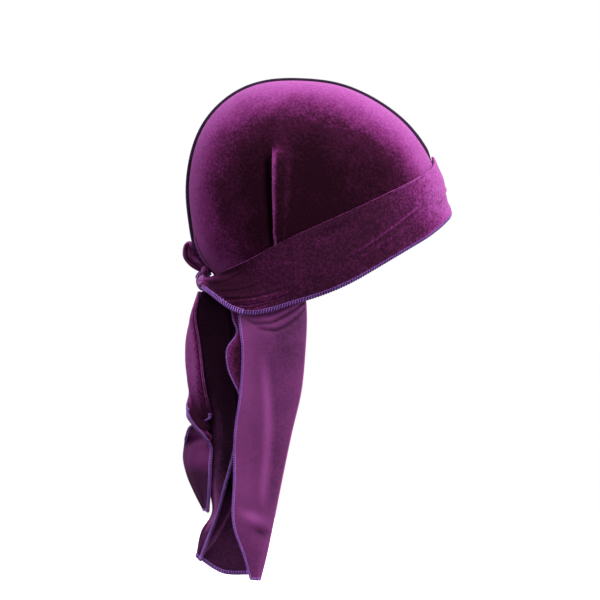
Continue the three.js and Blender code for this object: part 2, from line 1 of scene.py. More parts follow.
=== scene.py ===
# A velvet durag, dressed for rendering. Tables are in millimetres, as the piece was drafted; meshes are in metres.
import bpy
import math
import numpy as np
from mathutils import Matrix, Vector


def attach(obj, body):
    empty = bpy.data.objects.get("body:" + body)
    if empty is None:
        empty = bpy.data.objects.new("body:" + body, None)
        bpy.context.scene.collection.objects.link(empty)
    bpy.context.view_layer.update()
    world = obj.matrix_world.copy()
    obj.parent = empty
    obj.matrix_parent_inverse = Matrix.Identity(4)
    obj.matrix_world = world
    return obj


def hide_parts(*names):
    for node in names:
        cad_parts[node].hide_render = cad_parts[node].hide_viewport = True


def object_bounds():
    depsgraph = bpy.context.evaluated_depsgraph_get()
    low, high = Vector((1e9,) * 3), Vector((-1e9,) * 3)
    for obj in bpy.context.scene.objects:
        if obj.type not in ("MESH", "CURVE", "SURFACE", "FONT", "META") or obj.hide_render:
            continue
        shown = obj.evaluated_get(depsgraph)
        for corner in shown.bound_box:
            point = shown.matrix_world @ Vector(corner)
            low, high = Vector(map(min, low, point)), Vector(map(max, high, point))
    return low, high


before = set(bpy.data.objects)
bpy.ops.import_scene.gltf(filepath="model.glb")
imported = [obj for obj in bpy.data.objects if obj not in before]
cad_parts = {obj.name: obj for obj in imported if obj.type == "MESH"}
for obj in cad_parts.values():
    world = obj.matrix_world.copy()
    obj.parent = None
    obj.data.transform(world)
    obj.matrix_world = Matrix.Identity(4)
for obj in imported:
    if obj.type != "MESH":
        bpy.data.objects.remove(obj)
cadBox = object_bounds()
toMetres = 0.001
print("frame loaded:", ", ".join(sorted(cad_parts)))

# ---- camera, first, so that everything is judged from it
view = {"place": (-0.0038, -1.5, -0.164), "width": 0.456, "sensor": 36.0}
cameraData = bpy.data.cameras.new("studioCamera")
cameraData.sensor_width = view["sensor"]
cameraData.lens = view["sensor"] * abs(view["place"][1]) / view["width"]
camera = bpy.data.objects.new("studioCamera", cameraData)
camera.location = view["place"]
camera.rotation_euler = (math.radians(90), 0, 0)
bpy.context.scene.collection.objects.link(camera)
bpy.context.scene.camera = camera
print("camera set")


# ---- small mathematics, on arrays
def bump(x, centre, halfWidth):
    return np.exp(-(((x - centre) / halfWidth) ** 2))


def smoothstep(x, low, high):
    t = np.clip((x - low) / (high - low), 0, 1)
    return t * t * (3 - 2 * t)


def softMaximum(a, b, blend):
    return (a + b + np.hypot(a - b, blend)) / 2


def unit(vectors):
    return vectors / np.maximum(np.linalg.norm(vectors, axis=-1, keepdims=True), 1e-9)


# A smooth value of one column of a table, by the column that its rows are sorted by.
def readTable(rows, by, value, column):
    x = np.array([row[by] for row in rows], float)
    y = np.array([row[column] for row in rows], float)
    before = np.maximum(np.arange(len(x)) - 1, 0)
    after = np.minimum(np.arange(len(x)) + 1, len(x) - 1)
    slope = (y[after] - y[before]) / (x[after] - x[before])
    i = np.clip(np.searchsorted(x, value, side="right") - 1, 0, len(x) - 2)
    span = x[i + 1] - x[i]
    t = np.clip((value - x[i]) / span, 0, 1)
    return (
        (2 * t**3 - 3 * t**2 + 1) * y[i]
        + (t**3 - 2 * t**2 + t) * span * slope[i]
        + (3 * t**2 - 2 * t**3) * y[i + 1]
        + (t**3 - t**2) * span * slope[i + 1]
    )


# A centripetal spline through points[k], at shares of the way t. Points may carry more axes than one.
def splineThrough(points, t):
    points = np.asarray(points, float)
    padded = np.concatenate([[2 * points[0] - points[1]], points, [2 * points[-1] - points[-2]]])
    place = np.clip(t, 0, 1) * (len(points) - 1)
    i = np.minimum(place.astype(int), len(points) - 2)
    weight = (place - i).reshape((-1,) + (1,) * (points.ndim - 1))
    p0, p1, p2, p3 = (padded[i + k] for k in range(4))
    gap = [np.linalg.norm(b - a, axis=-1, keepdims=True) ** 0.5 for a, b in ((p0, p1), (p1, p2), (p2, p3))]
    d1 = np.maximum(gap[1], 1e-4)
    d0 = np.where(gap[0] < 1e-4, d1, gap[0])
    d2 = np.where(gap[2] < 1e-4, d1, gap[2])
    m1 = ((p1 - p0) / d0 - (p2 - p0) / (d0 + d1) + (p2 - p1) / d1) * d1
    m2 = ((p2 - p1) / d1 - (p3 - p1) / (d1 + d2) + (p3 - p2) / d2) * d1
    return p1 + m1 * weight + (-3 * p1 + 3 * p2 - 2 * m1 - m2) * weight**2 + (2 * p1 - 2 * p2 + m1 + m2) * weight**3


# A smooth sheet through stations along it, each naming its points across. Gives a function of (us, vs).
def stripThrough(stations, names):
    guides = np.array([[station[name] for name in names] for station in stations], float)

    def surface(us, vs):
        down = splineThrough(guides, vs)  # rows v, then the named points
        return splineThrough(down.transpose(1, 0, 2), us)

    return surface


# The same for level sections, top to bottom, whose points are in plan. Slope and curve tip a section.
def hangingSheet(sections, names):
    stations = []
    for row in sections:
        start = row[names[0]][0]
        tip = lambda x: row.get("slope", 0) * (x - start) + row.get("curve", 0) * (x - start) ** 2
        stations.append({name: (*row[name], row["z"] + tip(row[name][0])) for name in names})
    return stripThrough(stations, names)


def gridNormals(points):
    du = np.gradient(points, axis=0)
    dv = np.gradient(points, axis=1)
    return unit(np.cross(du, dv))


# ---- the head form that carries the cloth
head = {
    "centre": (-8, 0, -92),
    "halfWidth": 74,
    "fullness": 2.4,
    "profile": (113, 107.6, 103.4, 99.2, 95.9, 93.4, 92.1, 93.2, 92.8, 89.9, 85, 80.4,
                77.6, 77.6, 79.2, 77.4, 80.5, 95, 112, 120, 121, 119, 118, 116.5),
}
cloth = {"thickness": 1.6, "clearance": 0.3, "seamHalf": 1.2, "seamHeight": 3}


def profileRadius(angle):
    stations = np.array(head["profile"])
    count = len(stations)
    away = angle[..., None] - np.arange(count) * 2 * np.pi / count
    onStation = np.abs(np.sin(away / 2)) < 1e-9
    tangent = np.tan(np.where(onStation, 1, away / 2))
    weight = np.where(onStation, 1, np.sin(count * away / 2) / (count * tangent))
    return (weight * stations).sum(axis=-1)


def headPoint(direction):
    x, y, z = np.moveaxis(direction, -1, 0)
    inPlane = np.hypot(x, z) / profileRadius(np.arctan2(z, x))
    across = np.abs(y) / head["halfWidth"]
    power = head["fullness"]
    radius = (inPlane**power + across**power) ** (-1 / power)
    return direction * radius[..., None] + np.array(head["centre"])


def headNormal(direction):
    x, y, z = np.moveaxis(direction, -1, 0)
    aside = unit(np.cross(np.stack([-z, np.full_like(z, 0.3), x], -1), direction))
    along = np.cross(aside, direction)
    across = headPoint(unit(direction + aside * 1e-3)) - headPoint(unit(direction - aside * 1e-3))
    down = headPoint(unit(direction + along * 1e-3)) - headPoint(unit(direction - along * 1e-3))
    normal = unit(np.cross(across, down))
    return np.where((normal * direction).sum(-1, keepdims=True) < 0, -normal, normal)


def directionFrom(azimuth, elevation):
    flat = np.cos(elevation)
    return np.stack([np.cos(azimuth) * flat, -np.sin(azimuth) * flat, np.sin(elevation)], -1)


# Azimuths are from the forehead round the right side; above 0 is the right.
def directionAt(azimuth, height):
    elevation = np.zeros_like(azimuth + height)
    for _ in range(16):
        reach = np.linalg.norm(headPoint(directionFrom(azimuth, elevation)) - np.array(head["centre"]), axis=-1)
        elevation = np.arcsin(np.clip((height - head["centre"][2]) / reach, -0.98, 0.98))
    return directionFrom(azimuth, elevation)


# ---- making and finishing cloth meshes
def clearSelection():
    bpy.ops.object.select_all(action="DESELECT")


def choose(piece):
    clearSelection()
    piece.select_set(True)
    bpy.context.view_layer.objects.active = piece


def applyModifiers(piece):
    choose(piece)
    for modifier in list(piece.modifiers):
        bpy.ops.object.modifier_apply(modifier=modifier.name)


# A grid shaped onto points[i, j], in millimetres. Its outside is along du x dv; flip turns it over.
def gridPiece(name, points, us, vs, flip=False):
    nu, nv = len(us), len(vs)
    clearSelection()
    bpy.ops.mesh.primitive_grid_add(x_subdivisions=nu - 1, y_subdivisions=nv - 1, size=1)
    piece = bpy.context.object
    piece.name = name
    mesh = piece.data
    order = points.transpose(1, 0, 2).reshape(-1, 3) * toMetres
    mesh.vertices.foreach_set("co", order.astype(np.float32).ravel())
    shares = np.stack(np.meshgrid(us, vs, indexing="xy"), -1).reshape(-1, 2)
    corner = np.empty(len(mesh.loops), int)
    mesh.loops.foreach_get("vertex_index", corner)
    mesh.uv_layers[0].data.foreach_set("uv", shares[corner].astype(np.float32).ravel())
    if flip:
        bpy.ops.object.mode_set(mode="EDIT")
        bpy.ops.mesh.select_all(action="SELECT")
        bpy.ops.mesh.flip_normals()
        bpy.ops.object.mode_set(mode="OBJECT")
    mesh.update()
    return piece


# Values of a grid as a named number on its points, which materials read.
def giveAttribute(piece, name, values):
    layer = piece.data.attributes.new(name, "FLOAT", "POINT")
    layer.data.foreach_set("value", values.T.astype(np.float32).ravel())


# Walls: the face side keeps slot 0, the back takes slot 1, the cut rim slot 2.
def thicken(piece, thickness, offset=0.0):
    solid = piece.modifiers.new("wall", "SOLIDIFY")
    solid.thickness = thickness * toMetres
    solid.offset = offset
    solid.use_even_offset = False
    solid.use_rim = True
    solid.material_offset = 1
    solid.material_offset_rim = 2
    applyModifiers(piece)
    choose(piece)
    bpy.ops.object.shade_smooth()


def wear(piece, *materials):
    piece.data.materials.clear()
    for material in materials:
        piece.data.materials.append(material)


# ---- materials
def nodeIn(tree, kind, place=(0, 0), **settings):
    node = tree.nodes.new(kind)
    node.location = place
    for key, value in settings.items():
        if key in node.inputs:
            node.inputs[key].default_value = value
        else:
            setattr(node, key, value)
    return node


# Pile: fine grain, speckle and brushed patches, as a height, a speckle of -1 to 1 and a slow shade.
def makePileGroup():
    group = bpy.data.node_groups.new("pile", "ShaderNodeTree")
    scales = (("Grain scale", 1300.0), ("Speckle scale", 520.0), ("Patch scale", 38.0))
    for name, value in scales:
        socket = group.interface.new_socket(name, in_out="INPUT", socket_type="NodeSocketFloat")
        socket.default_value = value
    for name in ("Height", "Speckle", "Shade"):
        group.interface.new_socket(name, in_out="OUTPUT", socket_type="NodeSocketFloat")
    entry = nodeIn(group, "NodeGroupInput", (-800, 0))
    exitNode = nodeIn(group, "NodeGroupOutput", (500, 0))
    place = nodeIn(group, "ShaderNodeTexCoord", (-800, -250))
    noises = {
        "Grain scale": nodeIn(group, "ShaderNodeTexNoise", (-500, 250), Detail=2.0, Roughness=0.6),
        "Speckle scale": nodeIn(group, "ShaderNodeTexNoise", (-500, 0), Detail=2.0, Roughness=0.75),
        "Patch scale": nodeIn(group, "ShaderNodeTexNoise", (-500, -250), Detail=4.0, Roughness=0.6, Distortion=0.4),
    }
    for name, noise in noises.items():
        group.links.new(entry.outputs[name], noise.inputs["Scale"])
        group.links.new(place.outputs["Object"], noise.inputs["Vector"])
    spread = nodeIn(group, "ShaderNodeMapRange", (-250, 0))
    for socket, value in (("From Min", 0.34), ("From Max", 0.66), ("To Min", -1.0), ("To Max", 1.0)):
        spread.inputs[socket].default_value = value
    group.links.new(noises["Speckle scale"].outputs["Fac"], spread.inputs["Value"])
    group.links.new(noises["Grain scale"].outputs["Fac"], exitNode.inputs["Height"])
    group.links.new(spread.outputs["Result"], exitNode.inputs["Speckle"])
    group.links.new(noises["Patch scale"].outputs["Fac"], exitNode.inputs["Shade"])
    return group


pileGroup = makePileGroup()


def scaled(tree, output, factor, place, plus=0.0):
    node = nodeIn(tree, "ShaderNodeMath", place, operation="MULTIPLY_ADD")
    node.inputs[1].default_value = factor
    if isinstance(plus, float):
        node.inputs[2].default_value = plus
    else:
        tree.links.new(plus, node.inputs[2])
    tree.links.new(output, node.inputs[0])
    return node.outputs[0]


def rampOf(tree, shades, place):
    ramp = nodeIn(tree, "ShaderNodeValToRGB", place)
    stops = ramp.color_ramp.elements
    while len(stops) < len(shades):
        stops.new(0.5)
    for stop, (at, colour) in zip(stops, shades):
        stop.position = at
        stop.color = (*colour, 1)
    return ramp


# A colour times a factor, as a mix towards black or white light.
def multiplied(tree, colour, factor, place):
    node = nodeIn(tree, "ShaderNodeVectorMath", place, operation="SCALE")
    tree.links.new(colour, node.inputs[0])
    tree.links.new(factor, node.inputs["Scale"])
    return node.outputs[0]


def newMaterial(name, roughness, specular, sheen, sheenTint):
    material = bpy.data.materials.new(name)
    material.use_nodes = True
    shader = material.node_tree.nodes["Principled BSDF"]
    shader.inputs["Roughness"].default_value = roughness
    shader.inputs["Specular IOR Level"].default_value = specular
    shader.inputs["Sheen Weight"].default_value = sheen
    shader.inputs["Sheen Roughness"].default_value = 0.4
    shader.inputs["Sheen Tint"].default_value = (*sheenTint, 1)
    return material, material.node_tree, shader


# Velvet is dark where it faces the eye and glows where it turns away: a sheen painted into its colour by how far it
# turns from the eye, on top of the shader's own sheen. The pile breaks the edge between up.
# Shades are (how far it turns away, colour), from facing to edge on. The cloth's own numbers "brush" and
# "hollow" are painted light: the first shifts the painted sheen lighter or darker, the second darkens it as painted
# shade.
def velvetMaterial(name, shades, loosen=0.3, speckle=0.07, bumpDepth=0.0002):
    material, tree, shader = newMaterial(name, 0.9, 0.0, 0.08, (1.0, 0.3, 0.92))
    pile = nodeIn(tree, "ShaderNodeGroup", (-1300, 0), node_tree=pileGroup)
    facing = nodeIn(tree, "ShaderNodeLayerWeight", (-1300, 300), Blend=0.5)
    paintedSheen = nodeIn(tree, "ShaderNodeAttribute", (-1300, 500), attribute_name="paintedSheen")
    paintedShade = nodeIn(tree, "ShaderNodeAttribute", (-1300, 700), attribute_name="paintedShade")
    facingWithPaintedSheen = nodeIn(tree, "ShaderNodeMath", (-1100, 400), operation="ADD")
    tree.links.new(facing.outputs["Facing"], facingWithPaintedSheen.inputs[0])
    tree.links.new(paintedSheen.outputs["Fac"], facingWithPaintedSheen.inputs[1])
    patched = scaled(tree, pile.outputs["Shade"], loosen, (-900, 300), facingWithPaintedSheen.outputs[0])
    turned = scaled(tree, pile.outputs["Speckle"], speckle, (-700, 300), patched)
    level = nodeIn(tree, "ShaderNodeMath", (-600, 450), operation="SUBTRACT")
    level.inputs[1].default_value = loosen / 2
    tree.links.new(turned, level.inputs[0])
    ramp = rampOf(tree, shades, (-450, 300))
    tree.links.new(level.outputs[0], ramp.inputs["Fac"])
    grainy = scaled(tree, pile.outputs["Speckle"], speckle * 3.2, (-450, 0), 1.0)
    paintedShadeFactor = scaled(tree, paintedShade.outputs["Fac"], -1.0, (-450, 600), 1.0)
    speckled = multiplied(tree, ramp.outputs["Color"], grainy, (-150, 200))
    tree.links.new(multiplied(tree, speckled, paintedShadeFactor, (50, 300)), shader.inputs["Base Color"])
    bumpNode = nodeIn(tree, "ShaderNodeBump", (-350, -200), Distance=bumpDepth, Strength=0.7)
    tree.links.new(pile.outputs["Height"], bumpNode.inputs["Height"])
    tree.links.new(bumpNode.outputs["Normal"], shader.inputs["Normal"])
    return material


# The smooth side of the cloth, and thread. Its "gleam" number is painted light and shade that lightens or darkens it;
# "rim" paints in the pink sheen of the velvet pile seen edge on at a fold.
def satinMaterial(name, dark, light, roughness=0.42, sheenTint=(1.0, 0.35, 0.95), paintedRimSheenColour=(0.62, 0.11, 0.44)):
    material, tree, shader = newMaterial(name, roughness, 0.12, 0.12, sheenTint)
    pile = nodeIn(tree, "ShaderNodeGroup", (-1100, 0), node_tree=pileGroup)
    pile.inputs["Patch scale"].default_value = 18
    paintedSatinLight = nodeIn(tree, "ShaderNodeAttribute", (-1100, 300), attribute_name="paintedSatinLight")
    rim = nodeIn(tree, "ShaderNodeAttribute", (-1100, 500), attribute_name="rim")
    patched = scaled(tree, pile.outputs["Shade"], 0.55, (-900, 0), -0.025)
    fine = scaled(tree, pile.outputs["Speckle"], 0.05, (-750, 0), patched)
    lit = nodeIn(tree, "ShaderNodeMath", (-600, 100), operation="ADD")
    tree.links.new(fine, lit.inputs[0])
    tree.links.new(paintedSatinLight.outputs["Fac"], lit.inputs[1])
    deep = tuple(channel * 0.42 for channel in dark)
    bright = tuple(channel * 1.75 for channel in light)
    ramp = rampOf(tree, ((0.0, deep), (0.2, dark), (0.45, light), (1.0, bright)), (-450, 100))
    tree.links.new(lit.outputs[0], ramp.inputs["Fac"])
    edge = nodeIn(tree, "ShaderNodeMix", (-200, 200), data_type="RGBA")
    edge.inputs["B"].default_value = (*paintedRimSheenColour, 1)
    tree.links.new(rim.outputs["Fac"], edge.inputs["Factor"])
    tree.links.new(ramp.outputs["Color"], edge.inputs["A"])
    tree.links.new(edge.outputs["Result"], shader.inputs["Base Color"])
    bumpNode = nodeIn(tree, "ShaderNodeBump", (-350, -200), Distance=0.0001, Strength=0.4)
    tree.links.new(pile.outputs["Height"], bumpNode.inputs["Height"])
    tree.links.new(bumpNode.outputs["Normal"], shader.inputs["Normal"])
    return material


# The colours the velvet is painted as it turns away from the eye: a painted sheen, shared by the crown and strap
# velvets.
glow = ((0.3, (0.15, 0.02, 0.115)), (0.5, (0.27, 0.052, 0.235)), (0.85, (0.335, 0.088, 0.30)))
crownVelvet = velvetMaterial("crownVelvet", ((0.0, (0.015, 0.003, 0.008)), (0.15, (0.040, 0.006, 0.024)), *glow),
                             speckle=0.045)
strapVelvet = velvetMaterial("strapVelvet", ((0.0, (0.036, 0.007, 0.023)), (0.14, (0.062, 0.010, 0.042)), *glow))
# A darker copy of the velvet with less painted sheen, for the right tail: painted shade where the tail hangs behind,
# and the pile lying the other way.
shadedTailVelvet = velvetMaterial("shadedTailVelvet", ((0.0, (0.006, 0.002, 0.005)), (0.35, (0.014, 0.004, 0.011)),
                                           (0.6, (0.09, 0.022, 0.08)), (0.9, (0.26, 0.07, 0.24))), speckle=0.04)
wrongSide = satinMaterial("wrongSide", (0.125, 0.022, 0.108), (0.185, 0.036, 0.160))
capeSatin = satinMaterial("capeSatin", (0.15, 0.027, 0.130), (0.225, 0.045, 0.196))
knotSatin = satinMaterial("knotSatin", (0.46, 0.15, 0.47), (0.64, 0.24, 0.65))
tailSatin = satinMaterial("tailSatin", (0.13, 0.018, 0.112), (0.2, 0.034, 0.172), 0.6, (0.6, 0.08, 0.5))
# brightThread is the same thread as overlockThread painted lighter, as painted light where it catches more light; the
# two beds are darker copies, painted shade under the loops.
brightThread = satinMaterial("brightThread", (0.33, 0.13, 0.56), (0.60, 0.30, 0.92), 0.5)
shadedBrightBed = satinMaterial("shadedBrightThreadBed", (0.14, 0.045, 0.26), (0.24, 0.085, 0.42), 0.6)
threadFinish = satinMaterial("overlockThread", (0.17, 0.06, 0.31), (0.34, 0.15, 0.54), 0.5)
shadedThreadBed = satinMaterial("shadedThreadBed", (0.06, 0.018, 0.12), (0.12, 0.04, 0.22), 0.6)
rimThread = satinMaterial("rimThread", (0.16, 0.025, 0.13), (0.24, 0.05, 0.22), 0.6)
seamThread = satinMaterial("seamThread", (0.014, 0.003, 0.018), (0.045, 0.012, 0.06), 0.55)
print("materials made")


# ---- crown: two panels and the outside seam
bandEdges = (
    {"azimuth": 0, "top": -55, "bottom": -98},
    {"azimuth": 15, "top": -64, "bottom": -106},
    {"azimuth": 30, "top": -74, "bottom": -121},
    {"azimuth": 60, "top": -98, "bottom": -152},
    {"azimuth": 90, "top": -117.8, "bottom": -167},
    {"azimuth": 120, "top": -136, "bottom": -174.5},
    {"azimuth": 150, "top": -144.8, "bottom": -159.5},
    {"azimuth": 169, "top": -145.4, "bottom": -156},
)
crown = {"seamTopAngle": 91, "tuckAzimuth": 100.2, "tuckLine": 0.5, "rimLength": 275, "rimShare": 0.45,
         "columns": 210, "rows": 96}
tuckProfile = (
    {"along": -12, "lift": 0, "slide": 0},
    {"along": -7, "lift": 0.8, "slide": 0},
    {"along": -3, "lift": 2.4, "slide": 0.2},
    {"along": 0, "lift": 3.6, "slide": 0.6},
    {"along": 0.3, "lift": 1.9, "slide": 0.7},
    {"along": 0.6, "lift": 0.1, "slide": 0.1},
    {"along": 5, "lift": 0, "slide": 0},
)


def rimHeight(azimuth):
    top = readTable(bandEdges, "azimuth", azimuth, "top")
    bottom = readTable(bandEdges, "azimuth", azimuth, "bottom")
    return top + crown["rimShare"] * (bottom - top)


def overHeadAngle(azimuth):
    direction = directionAt(np.radians(np.array([float(azimuth)])), rimHeight(np.array([float(azimuth)])))[0]
    angle = math.degrees(math.atan2(direction[2], direction[0]))
    return angle + 360 if angle < -90 else angle


frontAngle, backAngle = overHeadAngle(0), overHeadAngle(180)


def through(start, middle, end, s):
    return start * (1 - s) * (1 - 2 * s) + middle * 4 * s * (1 - s) + end * s * (2 * s - 1)


def panelDirection(s, t):
    overHead = np.radians(through(frontAngle, crown["seamTopAngle"], backAngle, s))
    seam = np.stack([np.cos(overHead), 0 * overHead, np.sin(overHead)], -1)
    azimuth = through(0, crown["tuckAzimuth"], 180, s)
    rim = directionAt(np.radians(azimuth), rimHeight(azimuth))
    angle = np.arccos(np.clip((seam * rim).sum(-1), -1, 1))
    angle = np.maximum(angle, 1e-4)
    fromSeam = np.sin((1 - t) * angle) / np.sin(angle)
    toRim = np.sin(t * angle) / np.sin(angle)
    return unit(seam * fromSeam[..., None] + rim * toRim[..., None])


def crownColumns():
    fine = np.concatenate([np.linspace(-14, -0.4, 26), np.linspace(-0.25, 0.75, 11), np.linspace(1, 6, 8)])
    near = crown["tuckLine"] + fine / crown["rimLength"]
    plain = np.linspace(0, 1, crown["columns"])
    plain = plain[(plain < near[0] - 0.003) | (plain > near[-1] + 0.003)]
    return np.sort(np.concatenate([plain, near]))


def crownPanel(name, side):
    us = crownColumns()
    vs = np.linspace(0, 1, crown["rows"])
    s, t = np.meshgrid(us, vs, indexing="ij")
    direction = panelDirection(s, t)
    points = headPoint(direction)
    along = (s - crown["tuckLine"]) * crown["rimLength"]
    table = {key: [row[key] for row in tuckProfile] for key in ("along", "lift", "slide")}
    rise = smoothstep(t, 0.47, 0.55)
    pressed = 1 - smoothstep(t, 0.845, 0.87)
    lift = np.interp(along, table["along"], table["lift"], 0, 0) * rise * pressed
    slide = np.interp(along, table["along"], table["slide"], 0, 0) * smoothstep(t, 0.42, 0.48)
    points = points + headNormal(direction) * (cloth["thickness"] + lift)[..., None]
    ahead = headPoint(panelDirection(s - 0.01, t))
    behind = headPoint(panelDirection(s + 0.01, t))
    points = points + unit(behind - ahead) * slide[..., None]
    aside = np.abs(points[..., 1])
    low = smoothstep(-points[..., 2], 112, 120) * (1 - smoothstep(-points[..., 2], 136, 142))
    low = low * (points[..., 0] < -50)
    roll = low * bump(aside, 9, 7)
    points = points + headNormal(direction) * (0.7 * roll - 0.6 * low * bump(aside, 20, 3.5))[..., None]
    points[..., 1] = side * (np.abs(points[..., 1]) + cloth["seamHalf"] + cloth["clearance"])
    piece = gridPiece(name, points, us, vs, flip=side > 0)
    # Painted light on the crown: painted shadow behind the tuck's lip and painted shade in the groove beside the seam
    # at the lower rear; painted highlights at the tuck's top, along its lit edge, beside the seam and on its rolled
    # edge; painted shade towards the rear.
    length = rise * (1 - smoothstep(t, 0.87, 0.9))
    shadow = bump(along, 2.1, 1.5) * (along > 0.45) * length
    giveAttribute(piece, "paintedShade", np.clip(0.92 * shadow + 0.6 * low * bump(aside, 20, 3.5), 0, 1))
    tuckTopHighlight = 0.1 * bump(along, -2, 2.5) * bump(t, 0.47, 0.04)
    tuckEdgeHighlight = (0.07 * bump(along, -5.5, 1.2) + 0.3 * bump(along, -0.3, 0.9)) * length
    seamEdgeHighlight = 0.3 * np.exp(-t / 0.016) * (1 - bump(s, 0.5, 0.12))
    rear = smoothstep(-points[..., 0], 45, 75)
    giveAttribute(piece, "paintedSheen", tuckTopHighlight + tuckEdgeHighlight + seamEdgeHighlight + 0.06 * roll - 0.1 * rear - 0.03)
    wear(piece, crownVelvet, wrongSide, crownVelvet)
    thicken(piece, cloth["thickness"], -1.0)
    return piece


crownRight = crownPanel("crownPanelRight", -1)
crownLeft = crownPanel("crownPanelLeft", 1)
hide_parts("crown_right")
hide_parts("crown_left")
for piece in (crownRight, crownLeft):
    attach(piece, "root")
print("crown panels made")


# ---- thread work: overlock loops over a cloth edge
overlock = {"pitch": 1.7, "depth": 2.0, "reach": 0.35, "half": 1.05, "radius": 0.24, "steps": 9, "sides": 5}
hemOverlock = {**overlock, "pitch": 2.0, "depth": 3.0, "half": 1.15, "radius": 0.3}
fineOverlock = {**overlock, "pitch": 1.5, "depth": 1.5, "half": 0.9, "radius": 0.2}


# Evenly spaced stations along a line of points, with values carried along.
def evenStations(line, spacing, *carried):
    length = np.concatenate([[0], np.cumsum(np.linalg.norm(np.diff(line, axis=0), axis=1))])
    count = max(int(length[-1] / spacing), 2)
    at = np.linspace(0, length[-1], count)
    spread = lambda values: np.stack([np.interp(at, length, values[:, k]) for k in range(values.shape[1])], -1)
    return [spread(line), *(unit(spread(values)) for values in carried)], length[-1]


# A tube of few sides along a path, capped, as raw points, faces and the slot of its finish.
def tubeAlong(path, radius, sides, slot=0):
    tangent = unit(np.gradient(path, axis=0))
    seed = np.array([0.31, 0.87, 0.38])
    first = unit(np.cross(tangent, seed))
    second = np.cross(tangent, first)
    angle = np.arange(sides) * 2 * np.pi / sides
    ring = first[:, None] * np.cos(angle)[None, :, None] + second[:, None] * np.sin(angle)[None, :, None]
    points = path[:, None] + ring * radius
    count = len(path)
    a = (np.arange(count - 1)[:, None] * sides + np.arange(sides)[None]).ravel()
    b = (np.arange(count - 1)[:, None] * sides + (np.arange(sides)[None] + 1) % sides).ravel()
    faces = np.stack([a, b, b + sides, a + sides], -1)
    caps = [list(range(sides))[::-1], [(count - 1) * sides + k for k in range(sides)]]
    return points.reshape(-1, 3), faces, caps, slot


def meshPiece(name, parts, finishes):
    points, faces, slots, start = [], [], [], 0
    for more, quads, caps, slot in parts:
        points.append(more)
        faces += (quads + start).tolist() + [[k + start for k in cap] for cap in caps]
        slots += [slot] * (len(quads) + len(caps))
        start += len(more)
    mesh = bpy.data.meshes.new(name)
    mesh.from_pydata((np.concatenate(points) * toMetres).tolist(), [], faces)
    for finish in finishes:
        mesh.materials.append(finish)
    mesh.polygons.foreach_set("material_index", slots)
    mesh.update()
    piece = bpy.data.objects.new(name, mesh)
    bpy.context.scene.collection.objects.link(piece)
    choose(piece)
    bpy.ops.object.mode_set(mode="EDIT")
    bpy.ops.mesh.select_all(action="SELECT")
    bpy.ops.mesh.normals_make_consistent(inside=False)
    bpy.ops.object.mode_set(mode="OBJECT")
    bpy.ops.object.shade_smooth()
    return piece


# One run of overlock, over shares "within" of the edge: inward points into the cloth, outward is its face
# side. Loops wrap the edge; a bed of strands lies under them and a needle line at their inner ends.
def overlockRun(edge, inward, outward, settings=overlock, within=(0, 1)):
    first, last = (int(round(share * (len(edge) - 1))) for share in within)
    chosen = slice(first, last + 1)
    (line, into, face), length = evenStations(
        edge[chosen], settings["pitch"] / settings["steps"], inward[chosen], outward[chosen])
    count = np.arange(len(line))
    turn = count * 2 * np.pi / settings["steps"]
    middle = (settings["depth"] - settings["reach"]) / 2
    across = middle + (settings["depth"] / 2 + settings["reach"] / 2) * np.cos(turn)
    wobble = 1 + 0.09 * np.sin(count * 0.37) + 0.07 * np.sin(count * 0.101)
    path = line + into * (across * wobble)[:, None] + face * (settings["half"] * np.sin(turn))[:, None]
    runs = [tubeAlong(path, settings["radius"], settings["sides"])]
    thin = slice(None, None, max(settings["steps"] // 2, 1))
    for side in (1, -1):
        for share, radius, slot in ((0.16, 0.9, 1), (0.5, 0.9, 1), (0.9, 0.75, 0)):
            strand = line + into * (settings["depth"] * share) + face * side * (settings["half"] - 0.28)
            if slot == 0:
                strand = strand + face * side * 0.16
            runs.append(tubeAlong(strand[thin], settings["radius"] * radius, 4, slot))
    return runs


# Each pair is a thread and its bed, a darker copy painted as the shade that lies under the loops.
threadPair = (threadFinish, shadedThreadBed)
brightPair = (brightThread, shadedBrightBed)


# The line of a grid's border, the way into the cloth and its face side.
def borderOf(points, which, thickness=0.0):
    normals = gridNormals(points)
    line, inner, face = {
        "start": (points[0], points[2], normals[0]),
        "end": (points[-1], points[-3], normals[-1]),
        "top": (points[:, 0], points[:, 2], normals[:, 0]),
        "bottom": (points[:, -1], points[:, -3], normals[:, -1]),
    }[which]
    return line + face * thickness, unit(inner - line), face


# ---- centre seam: the fin of two cloth edges, overlocked
seam = {"from": frontAngle + 4, "to": 221.6, "stations": 260, "finHalf": 0.85}


def seamLine(height):
    angle = np.radians(np.linspace(seam["from"], seam["to"], seam["stations"]))
    direction = np.stack([np.cos(angle), 0 * angle, np.sin(angle)], -1)
    normal = headNormal(direction)
    normal[:, 1] = 0
    normal = unit(normal)
    return headPoint(direction) + normal * height, normal


